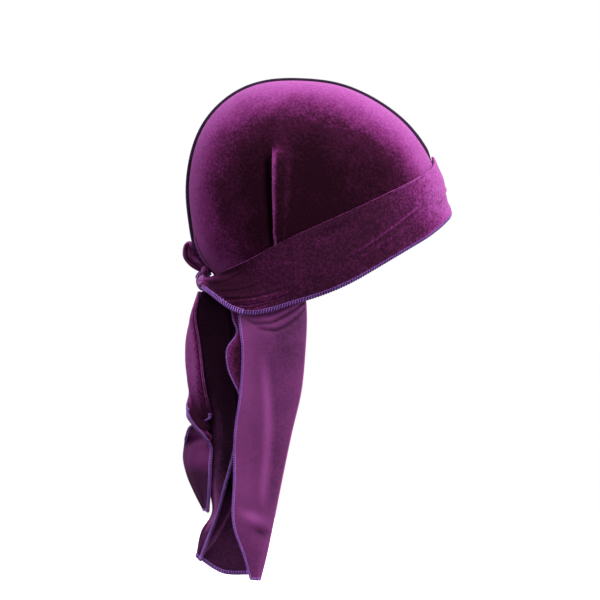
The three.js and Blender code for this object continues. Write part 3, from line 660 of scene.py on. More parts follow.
def makeSeam():
    line, normal = seamLine(0.0)
    share = np.linspace(0, 1, len(line))
    angle = seam["from"] + share * (seam["to"] - seam["from"])
    inFront = 0.62 * (1 - smoothstep(angle, seam["from"] + 2, seam["from"] + 10))
    pressed = 1 - inFront - 0.45 * smoothstep(angle, 203, 214)
    top = (cloth["thickness"] + cloth["seamHeight"] - 0.4) * pressed
    wave = 0.22 * np.sin(share * 61) + 0.12 * np.sin(share * 143 + 1)
    profile = ((-0.1, -1.7), (0.08, -1.25), (0.3, -1), (0.55, -1.0), (0.8, -0.98), (0.93, -0.8), (1.0, -0.35),
               (1.0, 0.35), (0.93, 0.8), (0.8, 0.98), (0.55, 1.0), (0.3, 1), (0.08, 1.25), (-0.1, 1.7))
    us = np.linspace(0, 1, len(line))
    vs = np.linspace(0, 1, len(profile))
    points = np.zeros((len(us), len(vs), 3))
    for j, (height, across) in enumerate(profile):
        points[:, j] = line + normal * (top * height)[:, None]
        points[:, j, 1] += across * seam["finHalf"] + wave * height
    fin = gridPiece("seamFin", points, us, vs)
    wear(fin, seamThread, seamThread, seamThread)
    thicken(fin, 0.5, -1.0)
    edge = line + normal * top[:, None]
    edge[:, 1] += wave
    sideways = np.tile(np.array([0.0, -1.0, 0.0]), (len(line), 1))
    settings = {**overlock, "depth": 2.5, "half": 0.95, "radius": 0.22, "pitch": 1.5}
    runs = overlockRun(edge, -normal, sideways, settings)
    shown = angle > 140
    stitch = edge - normal * 0.35 + sideways * (settings["half"] + 0.1)
    stitch = stitch - normal * (0.35 * np.cos(np.arange(len(line)) * 1.9))[:, None]
    runs.append(tubeAlong(stitch[shown], 0.24, 4, 2))
    threads = meshPiece("seamOverlock", runs, (seamThread, seamThread, threadFinish))
    return fin, threads


seamFin, seamOverlock = makeSeam()
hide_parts("crown_seam")
for piece in (seamFin, seamOverlock):
    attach(piece, "root")
print("seam made")


# ---- band
band = {"reach": 169, "lift": 2.6, "columns": 360, "rows": 76}
hemOutline = {"front": 108.5, "rear": 69.5, "side": 68, "fullness": 2.4, "frontDraft": 0.5, "sideDraft": 0.12}
hemTuck = {"share": 0.84, "depth": 1.1, "from": 95, "to": 168}
foreheadFolds = (
    {"share": 0, "lift": 0}, {"share": 0.13, "lift": 0.2}, {"share": 0.28, "lift": 0.7},
    {"share": 0.42, "lift": 0.2}, {"share": 0.6, "lift": -0.9}, {"share": 0.78, "lift": -0.8},
    {"share": 0.91, "lift": 0.8}, {"share": 1, "lift": -0.4},
)


def bandPoints(us, vs, detail=None):
    u, v = np.meshgrid(us, vs, indexing="ij")
    signed = (2 * u - 1) * band["reach"]
    azimuth = np.abs(signed)
    angle = np.radians(azimuth)
    top = readTable(bandEdges, "azimuth", azimuth, "top")
    bottom = readTable(bandEdges, "azimuth", azimuth, "bottom")
    height = top + v * (bottom - top)
    direction = directionAt(angle, height)
    onHead = headPoint(direction)
    outward = np.stack([np.cos(angle), -np.sin(angle), 0 * angle], -1)
    upright = np.maximum((headNormal(direction) * outward).sum(-1), 0.5)
    forehead = 1 - smoothstep(azimuth, 12, 62)
    overSeam = 1.2 * bump(azimuth, 0, 8) * (1 - smoothstep(v, 0, 0.25))
    tuck = hemTuck["depth"] * bump(v, hemTuck["share"], 0.06) * smoothstep(azimuth, 95, 110) \
        * (1 - smoothstep(azimuth, 156, 168))
    folds = forehead * readTable(foreheadFolds, "share", v, "lift") + overSeam - tuck
    if detail is not None:
        folds = folds + detail
    lift = band["lift"] + cloth["thickness"] / 2 + folds
    halfSeam = (cloth["seamHalf"] + cloth["clearance"]) * np.sin(angle)
    overHead = np.hypot(onHead[..., 0] - head["centre"][0], onHead[..., 1]) + halfSeam + lift / upright
    forward = np.cos(angle)
    along = np.abs(forward) / np.where(forward > 0, hemOutline["front"], hemOutline["rear"])
    across = np.abs(np.sin(angle)) / hemOutline["side"]
    power = hemOutline["fullness"]
    hemRadius = (along**power + across**power) ** (-1 / power)
    draft = hemOutline["frontDraft"] + (hemOutline["sideDraft"] - hemOutline["frontDraft"]) * smoothstep(azimuth, 40, 90)
    hem = hemRadius + folds - draft * (height - bottom)
    radius = overHead + (softMaximum(overHead, hem, 3) - overHead) * smoothstep(v, 0, 0.35)
    side = np.where(signed < 0, 1, -1)
    return np.stack([
        head["centre"][0] + radius * np.cos(angle),
        side * radius * np.sin(angle),
        height,
    ], -1)


# The band's folds, each a line through three places (x, z), the height of its ridge, its half width, and how
# much painted highlight it puts on the ridge and painted shade below it.
bandFolds = (
    {"from": (-70, -164), "by": (-43, -165.4), "to": (-6, -154), "height": 0.9, "half": 1.2, "light": 0.12, "dark": 0.55},
    {"from": (-64, -160), "by": (-44, -161), "to": (-14, -152), "height": 0.5, "half": 1.1, "light": 0.08, "dark": 0.3},
    {"from": (-66, -169), "by": (-44, -169.4), "to": (-20, -163), "height": 0.4, "half": 0.9, "light": 0.12, "dark": 0.2},
    {"from": (-70, -150), "by": (-58, -148.4), "to": (-44, -141), "height": 0.4, "half": 1.1, "light": 0.06, "dark": 0.3},
    {"from": (-66, -156), "by": (-52, -155.6), "to": (-30, -149), "height": 0.3, "half": 1.0, "light": 0.05, "dark": 0.2},
    {"from": (28, -133.4), "by": (58, -113.8), "to": (86, -91.6), "height": 0.4, "half": 1.4, "light": 0.12, "dark": 0.16},
    {"from": (20, -144), "by": (48, -127), "to": (74, -109), "height": 0.3, "half": 1.8, "light": 0.05, "dark": 0.1},
    {"from": (58, -86.6), "by": (74, -79.4), "to": (86, -71.6), "height": 0.7, "half": 1.2, "light": 0.14, "dark": 0.45},
    {"from": (96, -92), "by": (102, -86), "to": (107, -77), "height": 0.9, "half": 1.8, "light": 0.12, "dark": 0.3},
)


def foldMap(base):
    x, z = base[..., 0], base[..., 2]
    lift, paintedSheen, paintedShade = np.zeros_like(x), np.zeros_like(x), np.zeros_like(x)
    for fold in bandFolds:
        (x0, z0), (x1, z1), (x2, z2) = fold["from"], fold["by"], fold["to"]
        line = (
            z0 * (x - x1) * (x - x2) / ((x0 - x1) * (x0 - x2))
            + z1 * (x - x0) * (x - x2) / ((x1 - x0) * (x1 - x2))
            + z2 * (x - x0) * (x - x1) / ((x2 - x0) * (x2 - x1))
        )
        fade = (x2 - x0) * 0.2
        here = smoothstep(x, x0, x0 + fade) * (1 - smoothstep(x, x2 - fade, x2))
        off, half = z - line, fold["half"]
        lift += fold["height"] * here * (bump(off, 0, half) - 0.7 * bump(off, -1.7 * half, 0.9 * half))
        paintedSheen += fold["light"] * here * bump(off, -0.2 * half, 0.5 * half)
        paintedShade += fold["dark"] * here * bump(off, -1.5 * half, 0.8 * half)
    # Painted light and shade in broad patches: lighter in places at the front, a painted shadow line under a crease at
    # the front, darker towards the rear and beside the knot.
    paintedSheen += 0.09 * bump(x, 8, 17) * bump(z, -121 + 0.3 * (x - 8), 7)
    paintedShade += 0.35 * bump(x, 22, 14) * bump(z, -111 + 0.45 * (x - 22), 2.4)
    paintedSheen += 0.07 * bump(x, 96, 16) * bump(z, -80, 14) - 0.06 * bump(x, 108, 9) * bump(z, -100, 7)
    paintedSheen += 0.05 * bump(x, -5, 16) * bump(z, -146, 9) - 0.34 * smoothstep(-x, 28, 60)
    paintedSheen -= 0.36 * bump(x, -63, 11) * bump(z, -149, 8)
    return lift, paintedSheen, np.clip(paintedShade, 0, 0.9)


def makeBand():
    us = np.linspace(0, 1, band["columns"])
    vs = np.linspace(0, 1, band["rows"])
    lift, paintedSheen, paintedShade = foldMap(bandPoints(us, vs))
    points = bandPoints(us, vs, lift * (1 - smoothstep(vs, 0.9, 0.97)))
    piece = gridPiece("bandCloth", points, us, vs)
    giveAttribute(piece, "paintedSheen", paintedSheen)
    giveAttribute(piece, "paintedShade", paintedShade)
    wear(piece, strapVelvet, wrongSide, strapVelvet)
    thicken(piece, cloth["thickness"])
    edge = borderOf(points, "bottom")
    wide = {**hemOverlock, "depth": 3.8, "half": 1.3, "radius": 0.34}
    runs = overlockRun(*edge, hemOverlock, (0.14, 0.86))
    rear = overlockRun(*edge, wide, (0, 0.141)) + overlockRun(*edge, wide, (0.859, 1))
    # A small tuft of thread stands at the near end's top corner.
    tuft = {**overlock, "pitch": 1.4, "depth": 3.2, "half": 1.2, "radius": 0.36}
    rear += overlockRun(*borderOf(points, "start"), tuft, (0, 0.3))
    runs += [(places, faces, caps, slot + 2) for places, faces, caps, slot in rear]
    threads = meshPiece("bandOverlock", runs, threadPair + brightPair)
    return piece, threads, points


bandCloth, bandOverlock, bandGrid = makeBand()
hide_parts("band")
for piece in (bandCloth, bandOverlock):
    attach(piece, "root")
print("band made")


# ---- knot: the strap's last turns, pulled tight
knot = {"centre": (-77.1, 0, -149.4), "half": (5.4, 12.4, 7.3), "around": 120, "along": 90}


def makeKnot():
    us = np.linspace(0, 1, knot["around"])
    vs = np.linspace(0.012, 0.988, knot["along"])
    u, v = np.meshgrid(us, vs, indexing="ij")
    turn, tip = u * 2 * np.pi, v * np.pi
    across = -np.cos(tip)  # along the knot, right end to left
    askew = across + 0.25 * np.sin(turn) * np.sin(tip)
    wrap = 1 + 0.07 * bump(askew, 0, 0.34) - 0.2 * (bump(askew, 0.52, 0.1) + bump(askew, -0.52, 0.1))
    folds = 0.035 * np.sin(5 * turn + 6 * across) * (1 - bump(askew, 0, 0.3)) + 0.02 * np.sin(19 * askew + 2 * turn)
    swell = wrap + folds
    squash = np.abs(np.sin(tip)) ** 0.8
    half = np.array(knot["half"])
    points = np.stack([
        np.cos(turn) * squash * half[0] * swell,
        across * half[1] * swell,
        np.sin(turn) * squash * half[2] * swell,
    ], -1) + np.array(knot["centre"])
    points[-1] = points[0]
    piece = gridPiece("knotWraps", points, us, vs, flip=True)
    bpy.ops.object.mode_set(mode="EDIT")
    bpy.ops.mesh.select_all(action="SELECT")
    bpy.ops.mesh.remove_doubles(threshold=0.00002)
    bpy.ops.mesh.select_all(action="DESELECT")
    bpy.ops.mesh.select_non_manifold()
    bpy.ops.mesh.edge_face_add()
    bpy.ops.mesh.select_all(action="SELECT")
    bpy.ops.mesh.normals_make_consistent(inside=False)
    bpy.ops.object.mode_set(mode="OBJECT")
    bpy.ops.object.shade_smooth()
    wear(piece, knotSatin)
    ring = np.linspace(-0.6, 2.9, 60)
    middle = np.array(knot["centre"])
    edge = middle + np.stack([
        np.cos(ring) * half[0] * 0.93, -7.2 + 1.2 * np.sin(ring), np.sin(ring) * half[2] * 0.93], -1)
    outward = unit(edge - middle - np.array([0, -6, 0]))
    inward = np.tile(np.array([0.0, -1.0, 0.0]), (len(edge), 1))
    settings = {**overlock, "pitch": 2.4, "depth": 4.6, "half": 0.8, "radius": 0.26}
    loops = overlockRun(edge + outward * 0.3, inward, outward, settings)
    threads = meshPiece("knotOverlock", loops, (brightThread, seamThread))
    return piece, threads


knotWraps, knotOverlock = makeKnot()
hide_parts("knot")
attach(knotWraps, "root")
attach(knotOverlock, "root")

# The crown's lower corner, drawn in and pleated above the knot.
gather = {"centre": (-75.2, 0, -142.6), "half": (4.2, 14, 5), "pleats": 13}
clearSelection()
bpy.ops.mesh.primitive_uv_sphere_add(segments=72, ring_count=24, radius=1)
gatheredCloth = bpy.context.object
gatheredCloth.name = "gatheredCloth"
bpy.ops.object.shade_smooth()
for vertex in gatheredCloth.data.vertices:
    x, y, z = vertex.co
    turn = math.atan2(y, x)
    ripple = 1 + 0.1 * math.sin(gather["pleats"] * turn + 2 * z) * math.sqrt(max(0, 1 - z * z))
    vertex.co = [0.001 * (c + h * w * ripple) for c, h, w in zip(gather["centre"], gather["half"], (x, z, y))]
bpy.ops.object.mode_set(mode="EDIT")
bpy.ops.mesh.select_all(action="SELECT")
bpy.ops.mesh.normals_make_consistent(inside=False)
bpy.ops.object.mode_set(mode="OBJECT")
wear(gatheredCloth, crownVelvet)
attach(gatheredCloth, "root")
print("knot made")

# ---- bow loop
bowStations = (
    {"near": (-79.3, -4, -141.6), "belly": (-80.1, 2, -141.8), "far": (-78.2, 10, -141)},
    {"near": (-81.8, -5, -140), "belly": (-83.4, 4, -140.2), "far": (-80.8, 17, -138.6)},
    {"near": (-85.2, -5, -137.9), "belly": (-87.4, 8, -137.4), "far": (-84.4, 23, -134.8)},
    {"near": (-88.4, -4, -135.2), "belly": (-90.5, 9, -134.2), "far": (-87, 29, -131.8)},
    {"near": (-90.8, -3, -131.2), "belly": (-92.5, 10, -130.6), "far": (-88.8, 34, -129.4)},
    {"near": (-91.1, -2, -127), "belly": (-92.9, 11, -126.6), "far": (-89, 37, -126.4)},
    {"near": (-90.6, -2, -123.2), "belly": (-91.6, 12, -121.6), "far": (-89, 38, -123.2)},
    {"near": (-89.2, -2, -121.6), "belly": (-88.8, 12, -119.6), "far": (-87.6, 36, -121.8)},
    {"near": (-88.2, -2, -123.4), "belly": (-83.6, 9, -122.8), "far": (-85.4, 30, -123.6)},
    {"near": (-87.9, -2, -127.4), "belly": (-81.9, 8, -127.6), "far": (-86, 26, -127.8)},
    {"near": (-87.4, -2.4, -131.2), "belly": (-79.9, 8, -131.8), "far": (-84.6, 22, -131.4)},
    {"near": (-85.6, -3, -133.8), "belly": (-78.3, 8, -134.6), "far": (-81.8, 17, -134.4)},
    {"near": (-82.8, -3.6, -135.7), "belly": (-77, 7, -136.8), "far": (-79, 12, -136.8)},
    {"near": (-80.1, -4, -137.4), "belly": (-77, 5, -138.4), "far": (-76.8, 9, -138.8)},
    {"near": (-78.2, -3.6, -139.5), "belly": (-76.4, 3, -140.2), "far": (-75.8, 7, -140.6)},
)
bow = {"thickness": 1.5, "columns": 34, "rows": 150}


def makeBow():
    us = np.linspace(0, 1, bow["columns"])
    vs = np.linspace(0, 1, bow["rows"])
    points = stripThrough(bowStations, ("near", "belly", "far"))(us, vs)
    piece = gridPiece("bowLoopCloth", points, us, vs)
    wear(piece, strapVelvet, strapVelvet, strapVelvet)
    thicken(piece, bow["thickness"])
    settings = {**fineOverlock, "half": 0.85}
    threads = meshPiece("bowOverlock", overlockRun(*borderOf(points, "start"), settings), (rimThread, seamThread))
    return piece, threads


bowCloth, bowOverlock = makeBow()
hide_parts("bow_loop")
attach(bowCloth, "root")
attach(bowOverlock, "root")
print("bow loop made")

# ---- strap tails
leftTailNames = ("firstEdge", "first", "middle", "second", "secondEdge")
leftTailSections = (
    {"z": -157.8, "firstEdge": (-79.4, -8.4), "first": (-80.4, -4), "middle": (-80.5, 1),
     "second": (-80, 6), "secondEdge": (-79, 11)},
    {"z": -167, "firstEdge": (-81.4, -12), "first": (-83.6, -6.6), "middle": (-83.4, 2),
     "second": (-83, 11), "secondEdge": (-82.4, 19)},
    {"z": -177, "firstEdge": (-82.4, -13.6), "first": (-86, -8), "middle": (-86.9, 4),
     "second": (-87, 16), "secondEdge": (-86.4, 27.1)},
    {"z": -194, "firstEdge": (-79.6, -15.4), "first": (-84.8, -9.6), "middle": (-88.6, 3),
     "second": (-90.4, 18), "secondEdge": (-91, 32.9)},
    {"z": -212, "firstEdge": (-77.4, -18), "first": (-83.2, -12), "middle": (-88.4, 3),
     "second": (-90.8, 18.5), "secondEdge": (-91.5, 33.9)},
    {"z": -225, "firstEdge": (-76, -19.6), "first": (-82.2, -12.4), "middle": (-87.6, 2),
     "second": (-89.6, 17), "secondEdge": (-90, 31.4)},
    {"z": -236, "firstEdge": (-74.2, -20.4), "first": (-80.4, -12.4), "middle": (-85.3, 0),
     "second": (-87.9, 13), "secondEdge": (-89, 26)},
    {"z": -245, "firstEdge": (-72, -20), "first": (-78, -12), "middle": (-83, -3),
     "second": (-87.4, 3), "secondEdge": (-90.4, 8)},
    {"z": -252, "firstEdge": (-70.6, -18.4), "first": (-76.5, -13), "middle": (-83, -9.5),
     "second": (-88.2, -12), "secondEdge": (-86.8, -20)},
    {"z": -260, "firstEdge": (-87.6, -2.2), "first": (-72.6, -11), "middle": (-75.6, -18),
     "second": (-80.8, -21.4), "secondEdge": (-80.8, -28)},
    {"z": -267, "firstEdge": (-90.6, -1), "first": (-81, -5), "middle": (-73.4, -10.6),
     "second": (-70.6, -17.6), "secondEdge": (-75.6, -24.6)},
    {"z": -275, "firstEdge": (-92.4, 18), "first": (-89, 9), "middle": (-83.4, 0),
     "second": (-76, -8), "secondEdge": (-70.4, -17.6)},
    {"z": -287, "firstEdge": (-93.8, 25), "first": (-91, 15), "middle": (-86.4, 5),
     "second": (-79.6, -5.6), "secondEdge": (-70.8, -17.6)},
    {"z": -298, "firstEdge": (-91, 22), "first": (-89.2, 13.4), "middle": (-84.6, 3),
     "second": (-78.6, -6.6), "secondEdge": (-71, -16.4)},
    {"z": -311, "firstEdge": (-84.6, 13.6), "first": (-83.4, 7.6), "middle": (-80.4, 0),
     "second": (-76.4, -7.4), "secondEdge": (-71.6, -14.6)},
    {"z": -324, "firstEdge": (-77, 4.6), "first": (-76.2, 1.6), "middle": (-74.6, -1.6),
     "second": (-74.2, -6.2), "secondEdge": (-72.8, -12)},
)
rightTailNames = ("nearEdge", "nearLeaf", "foldNear", "fold", "foldFar", "farLeaf", "farEdge")
rightTailSections = (
    {"z": -157.6, "nearEdge": (-70, -11.5), "nearLeaf": (-73, -10.6), "foldNear": (-75.8, -9),
     "fold": (-77.2, -6.4), "foldFar": (-75.8, -4.4), "farLeaf": (-73.4, -4.4), "farEdge": (-71, -5.6)},
    {"z": -166, "nearEdge": (-62.6, -23.6), "nearLeaf": (-70.2, -17), "foldNear": (-78, -10.6),
     "fold": (-80.2, -7.6), "foldFar": (-78, -6), "farLeaf": (-71.8, -8.4), "farEdge": (-66.6, -11.6)},
    {"z": -178, "nearEdge": (-55.6, -36.4), "nearLeaf": (-67.6, -24), "foldNear": (-80, -12.2),
     "fold": (-82.6, -8.8), "foldFar": (-79.8, -7), "farLeaf": (-70, -12), "farEdge": (-63, -16)},
    {"z": -205, "nearEdge": (-53.6, -38.6), "nearLeaf": (-65.6, -27), "foldNear": (-77.6, -13.6),
     "fold": (-79.9, -10), "foldFar": (-77, -8.4), "farLeaf": (-68, -14.6), "farEdge": (-61, -20)},
    {"z": -237, "nearEdge": (-50.8, -40), "nearLeaf": (-62.4, -28), "foldNear": (-73.8, -11.4),
     "fold": (-76.6, -7.6), "foldFar": (-73.4, -5.8), "farLeaf": (-64, -13), "farEdge": (-58, -19)},
    {"z": -256, "nearEdge": (-51, -40), "nearLeaf": (-60.6, -27), "foldNear": (-69.6, -9.6),
     "fold": (-73.2, -5), "foldFar": (-70, -3.6), "farLeaf": (-62, -10), "farEdge": (-56, -16)},
    {"z": -275, "nearEdge": (-52, -39), "nearLeaf": (-61, -26), "foldNear": (-70.2, -9),
     "fold": (-73.6, -4.4), "foldFar": (-70.4, -3), "farLeaf": (-62, -9), "farEdge": (-55, -14)},
    {"z": -303, "slope": -0.06, "nearEdge": (-59, -31), "nearLeaf": (-64.6, -22), "foldNear": (-69.8, -9.4),
     "fold": (-72.8, -5), "foldFar": (-69.8, -3.4), "farLeaf": (-61, -6.6), "farEdge": (-53, -10)},
    {"z": -325, "slope": -0.12, "nearEdge": (-65, -22), "nearLeaf": (-67, -17), "foldNear": (-68.4, -11.6),
     "fold": (-69.9, -8), "foldFar": (-67, -5.6), "farLeaf": (-58, -8), "farEdge": (-48, -11.4)},
    {"z": -342, "slope": -0.4, "curve": 0.006, "nearEdge": (-71.4, -16), "nearLeaf": (-74, -13.4),
     "foldNear": (-76.2, -10.6), "fold": (-78, -7.8), "foldFar": (-75, -5.4), "farLeaf": (-61, -9),
     "farEdge": (-44, -14.5)},
    {"z": -361, "slope": -0.8, "curve": 0.0145, "nearEdge": (-78.6, -11.6), "nearLeaf": (-79.8, -10.4),
     "foldNear": (-81, -9.4), "fold": (-81.8, -7.2), "foldFar": (-78.6, -5.6), "farLeaf": (-62, -9.6),
     "farEdge": (-41.4, -15)},
)
tails = {"columns": 90, "rows": 260}


def makeTail(name, sections, names, edges, detail, finishes):
    us = np.linspace(0, 1, tails["columns"])
    vs = np.linspace(0, 1, tails["rows"])
    points = hangingSheet(sections, names)(us, vs)
    lift, numbers = detail(us[:, None], vs[None], points)
    points = points + gridNormals(points) * lift[..., None]
    piece = gridPiece(name, points, us, vs)
    for key, values in numbers.items():
        giveAttribute(piece, key, values + np.zeros_like(lift))
    wear(piece, *finishes)
    thicken(piece, cloth["thickness"])
    runs = []
    for border, within, settings in edges:
        runs += overlockRun(*borderOf(points, border), settings, within)
    threads = meshPiece(name + "Overlock", runs, brightPair)
    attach(piece, "root")
    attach(threads, "root")
    return piece, threads


def leftTailDetail(u, v, points):
    ripple = 0.5 * np.sin(7 * u + 9 * v) * np.sin(np.pi * v) + 0.25 * np.sin(17 * u - 5 * v)
    hanging = 1 - smoothstep(v, 0.42, 0.5)
    edge = bump(u, 0.01, 0.014) * hanging
    groove = bump(u, 0.06, 0.03) * smoothstep(v, 0.04, 0.1) * hanging
    twist = bump(v, 0.56, 0.11)
    # Painted light: a painted highlight along the hanging edge, painted shade in the groove beside it and over the
    # twist, darker lower on the hanging part; on the smooth side a painted highlight, darker towards the bottom and
    # beside the first edge.
    numbers = {
        "paintedSheen": 0.3 * edge - 0.55 * twist - 0.14 * smoothstep(u, 0.1, 0.6) * hanging - 0.14 * bump(v, 0.42, 0.12),
        "paintedShade": np.clip(0.7 * groove + 0.3 * twist, 0, 0.9),
        "paintedSatinLight": 0.42 * bump(u, 0.6, 0.3) * bump(v, 0.68, 0.1) - 0.4 * smoothstep(v, 0.76, 0.9)
        - 0.3 * bump(u, 0.06, 0.08),
        "rim": 0 * edge,
    }
    return ripple * (1 - twist), numbers


def rightTailDetail(u, v, points):
    ripple = 0.5 * np.sin(7 * u + 9 * v) * np.sin(np.pi * v)
    x, z = points[..., 0], points[..., 2]
    # The far leaf's crease runs up from the strap's rear corner, with a painted highlight along it, painted shade
    # beside it and painted sheen on the hem below it; the near leaf is painted darker above and lighter below.
    crease = -356 + 0.66 * (x + 79.4) + 0.036 * (x + 79.4) ** 2
    far = smoothstep(u, 0.5, 0.56)
    near = 1 - smoothstep(u, 0.45, 0.5)
    line = bump(z, crease, 1.7) * far * (z < -318)
    under = smoothstep(crease - z, 0.5, 3) * far * (1 - smoothstep(z, -322, -316))
    numbers = {
        "paintedSheen": 1.6 * line + 0.45 * under + 0.55 * far * smoothstep(-z, 285, 320) * (1 - under)
        + near * (0.3 * smoothstep(-z, 284, 316) - 0.12),
        "paintedShade": 0.5 * bump(z, crease + 2.4, 1.4) * far * (z < -318),
    }
    return ripple + 1.2 * bump(z, crease, 1.6) * far * (z < -318), numbers


leftTail, leftTailOverlock = makeTail(
    "leftTailCloth", leftTailSections, leftTailNames,
    (("start", (0.5, 1), overlock), ("end", (0.3, 1), overlock), ("bottom", (0, 1), overlock)),
    leftTailDetail, (strapVelvet, tailSatin, strapVelvet))
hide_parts("tail_left")
rightTail, rightTailOverlock = makeTail(
    "rightTailCloth", rightTailSections, rightTailNames,
    (("start", (0.54, 1), overlock), ("end", (0.5, 1), overlock), ("bottom", (0, 1), hemOverlock)),
    rightTailDetail, (shadedTailVelvet,) * 3)
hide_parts("tail_right")
print("tails made")

# ---- cape
capeNames = ("freeEdge", "margin", "foldOutside", "fold", "foldInside", "right", "nape", "left", "leftEdge")
capeSections = (
    {"z": -156.5, "freeEdge": (-48, -52), "margin": (-26, -61.5), "foldOutside": (-4, -65),
     "fold": (-0.4, -62.5),
     "foldInside": (-4, -60), "right": (-34, -51.5), "nape": (-65, 0), "left": (-34, 52), "leftEdge": (2, 61)},
    {"z": -177, "freeEdge": (-48.7, -53), "margin": (-26, -62), "foldOutside": (-3, -65.2),
     "fold": (0.6, -62.7),
     "foldInside": (-3, -60.2), "right": (-34, -51.5), "nape": (-61, 0), "left": (-36, 51),
     "leftEdge": (-2, 61)},
    {"z": -200, "freeEdge": (-46.3, -54), "margin": (-25, -63), "foldOutside": (-4, -65.5),
     "fold": (-0.4, -62.9),
     "foldInside": (-4, -60.3), "right": (-35, -51), "nape": (-58, 0), "left": (-38, 47), "leftEdge": (-8, 60)},
    {"z": -230, "freeEdge": (-47.7, -53.5), "margin": (-27, -62.5), "foldOutside": (-7, -64.5),
     "fold": (-3.3, -61.9),
     "foldInside": (-7, -59.3), "right": (-37, -50), "nape": (-55.5, -4), "left": (-41, 40),
     "leftEdge": (-16, 56)},
    {"z": -262, "freeEdge": (-51.9, -52.5), "margin": (-31, -61.5), "foldOutside": (-14.2, -63.5),
     "fold": (-10.6, -61),
     "foldInside": (-14.2, -58.4), "right": (-39, -49), "nape": (-53, -12), "left": (-42, 28),
     "leftEdge": (-24, 47)},
    {"z": -295, "freeEdge": (-52.4, -52.5), "margin": (-34, -60), "foldOutside": (-20.9, -62),
     "fold": (-17.4, -59.5),
     "foldInside": (-20.9, -57), "right": (-40, -48.5), "nape": (-51.6, -23), "left": (-42, 8),
     "leftEdge": (-30, 28)},
    {"z": -328, "freeEdge": (-53, -52), "margin": (-37.5, -58), "foldOutside": (-27.4, -60),
     "fold": (-23.9, -57.5),
     "foldInside": (-27.4, -55), "right": (-40, -47.5), "nape": (-44, -34), "left": (-39, -16),
     "leftEdge": (-32, 0)},
    {"z": -352, "freeEdge": (-45, -52.5), "margin": (-37, -56.5), "foldOutside": (-32.2, -58),
     "fold": (-28.9, -55.7),
     "foldInside": (-32.2, -53), "right": (-37, -48), "nape": (-38.5, -41), "left": (-37, -33),
     "leftEdge": (-34, -26)},
    {"z": -369, "freeEdge": (-40, -52.4), "margin": (-38, -54.4), "foldOutside": (-35.6, -55.8),
     "fold": (-33.2, -53.8),
     "foldInside": (-35.2, -51.4), "right": (-36.4, -49.4), "nape": (-37, -47), "left": (-36.8, -45),
     "leftEdge": (-36.4, -43)},
)
cape = {"columns": 250, "rows": 170}


# The swags under the band, each a line through places (x, z), with the depth and half width of its valley.
capeSwags = (
    {"line": ((-46, -177), (-34, -181.5), (-24, -181.4), (-13, -177.4), (-5, -171.6), (2, -163)), "depth": 1.2, "half": 1.5},
    {"line": ((-40, -183), (-32, -185.6), (-25, -186.4), (-17, -183.6), (-7, -177), (3, -166)), "depth": 0.8, "half": 1.7},
    {"line": ((-43, -172), (-32, -174.6), (-22, -174), (-12, -169), (-3, -162)), "depth": 0.5, "half": 1.4},
)


def capeDetail(u, v, points):
    x, z = points[..., 0], points[..., 2]
    margin = 1 - smoothstep(u, 0.30, 0.36)
    # gleam is painted light and shade: lit above each swag and shaded in its valley, a painted highlight on the ridge
    # and the pad, painted shade in the dent, lighter at the left and darker to the right.
    lift, paintedSatinLight = np.zeros_like(x), np.zeros_like(x)
    for swag in capeSwags:
        places = np.array(swag["line"], float)
        span = places[-1, 0] - places[0, 0]
        share = (x - places[0, 0]) / span
        line = splineThrough(places[:, 1:], np.clip(share, 0, 1).ravel()).reshape(x.shape)
        here = smoothstep(share, 0.0, 0.25) * (1 - smoothstep(share, 0.97, 1.05))
        off, half = z - line, swag["half"]
        lift += swag["depth"] * here * (0.6 * bump(off, 2.2 * half, 1.3 * half) - bump(off, 0, half))
        paintedSatinLight += 0.24 * swag["depth"] * here * (0.5 * bump(off, 2.4 * half, 1.2 * half) - bump(off, 0.3, 0.9 * half))
    middle = -30.5 - 2.6 * np.sin((z + 215) / 26)
    strip = smoothstep(-z, 196, 236) * (1 - smoothstep(-z, 300, 322))
    ridge = bump(x, middle, 3.2) * strip
    pad = bump(x, -38.5, 9) * bump(z, -323.5 - 0.3 * (x + 38.5), 4.4)
    dent = bump(x, -33, 7) * bump(z, -333 - 0.3 * (x + 33), 4)
    lift += 1.1 * ridge - 0.7 * dent + 0.8 * pad
    paintedSatinLight += 0.3 * ridge - 0.26 * dent + 0.55 * pad
    paintedSatinLight += 0.22 * bump(x, -44, 9) * (1 - smoothstep(-z, 200, 250)) + 0.14 * smoothstep(-x, 32, 44) * strip
    paintedSatinLight -= 0.12 * smoothstep(x, -32, -14) + 0.06 * bump(x, middle + 7, 4) * strip
    drape = 1.3 * np.sin(26 * u + 1.2) * smoothstep(u, 0.45, 0.55) * smoothstep(v, 0.02, 0.3)
    # rim paints the pink sheen of the velvet pile along the fold.
    return drape * 0.8 - margin * lift, {"paintedSatinLight": margin * paintedSatinLight, "rim": 0.9 * bump(u, 0.366, 0.016) + 0 * x}


def makeCape():
    us = np.linspace(0, 1, cape["columns"])
    vs = np.linspace(0, 1, cape["rows"])
    points = hangingSheet(capeSections, capeNames)(us, vs)
    behind = smoothstep(-points[..., 0], 36, 54) * (1 - smoothstep(np.abs(points[..., 1]), 38, 48))
    points[..., 2] += 7 * behind * (1 - smoothstep(vs, 0, 0.1))  # drawn up under the crown at the nape
    lift, numbers = capeDetail(us[:, None], vs[None], points)
    points = points + gridNormals(points) * lift[..., None]
    piece = gridPiece("capeCloth", points, us, vs)
    for key, values in numbers.items():
        giveAttribute(piece, key, values)
    wear(piece, strapVelvet, capeSatin, strapVelvet)
    thicken(piece, cloth["thickness"])
    runs = []
    for border in ("start", "end", "bottom"):
        runs += overlockRun(*borderOf(points, border))
    threads = meshPiece("capeOverlock", runs, brightPair)
    return piece, threads


capeCloth, capeOverlock = makeCape()
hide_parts("cape")
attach(capeCloth, "root")
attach(capeOverlock, "root")
print("cape made")

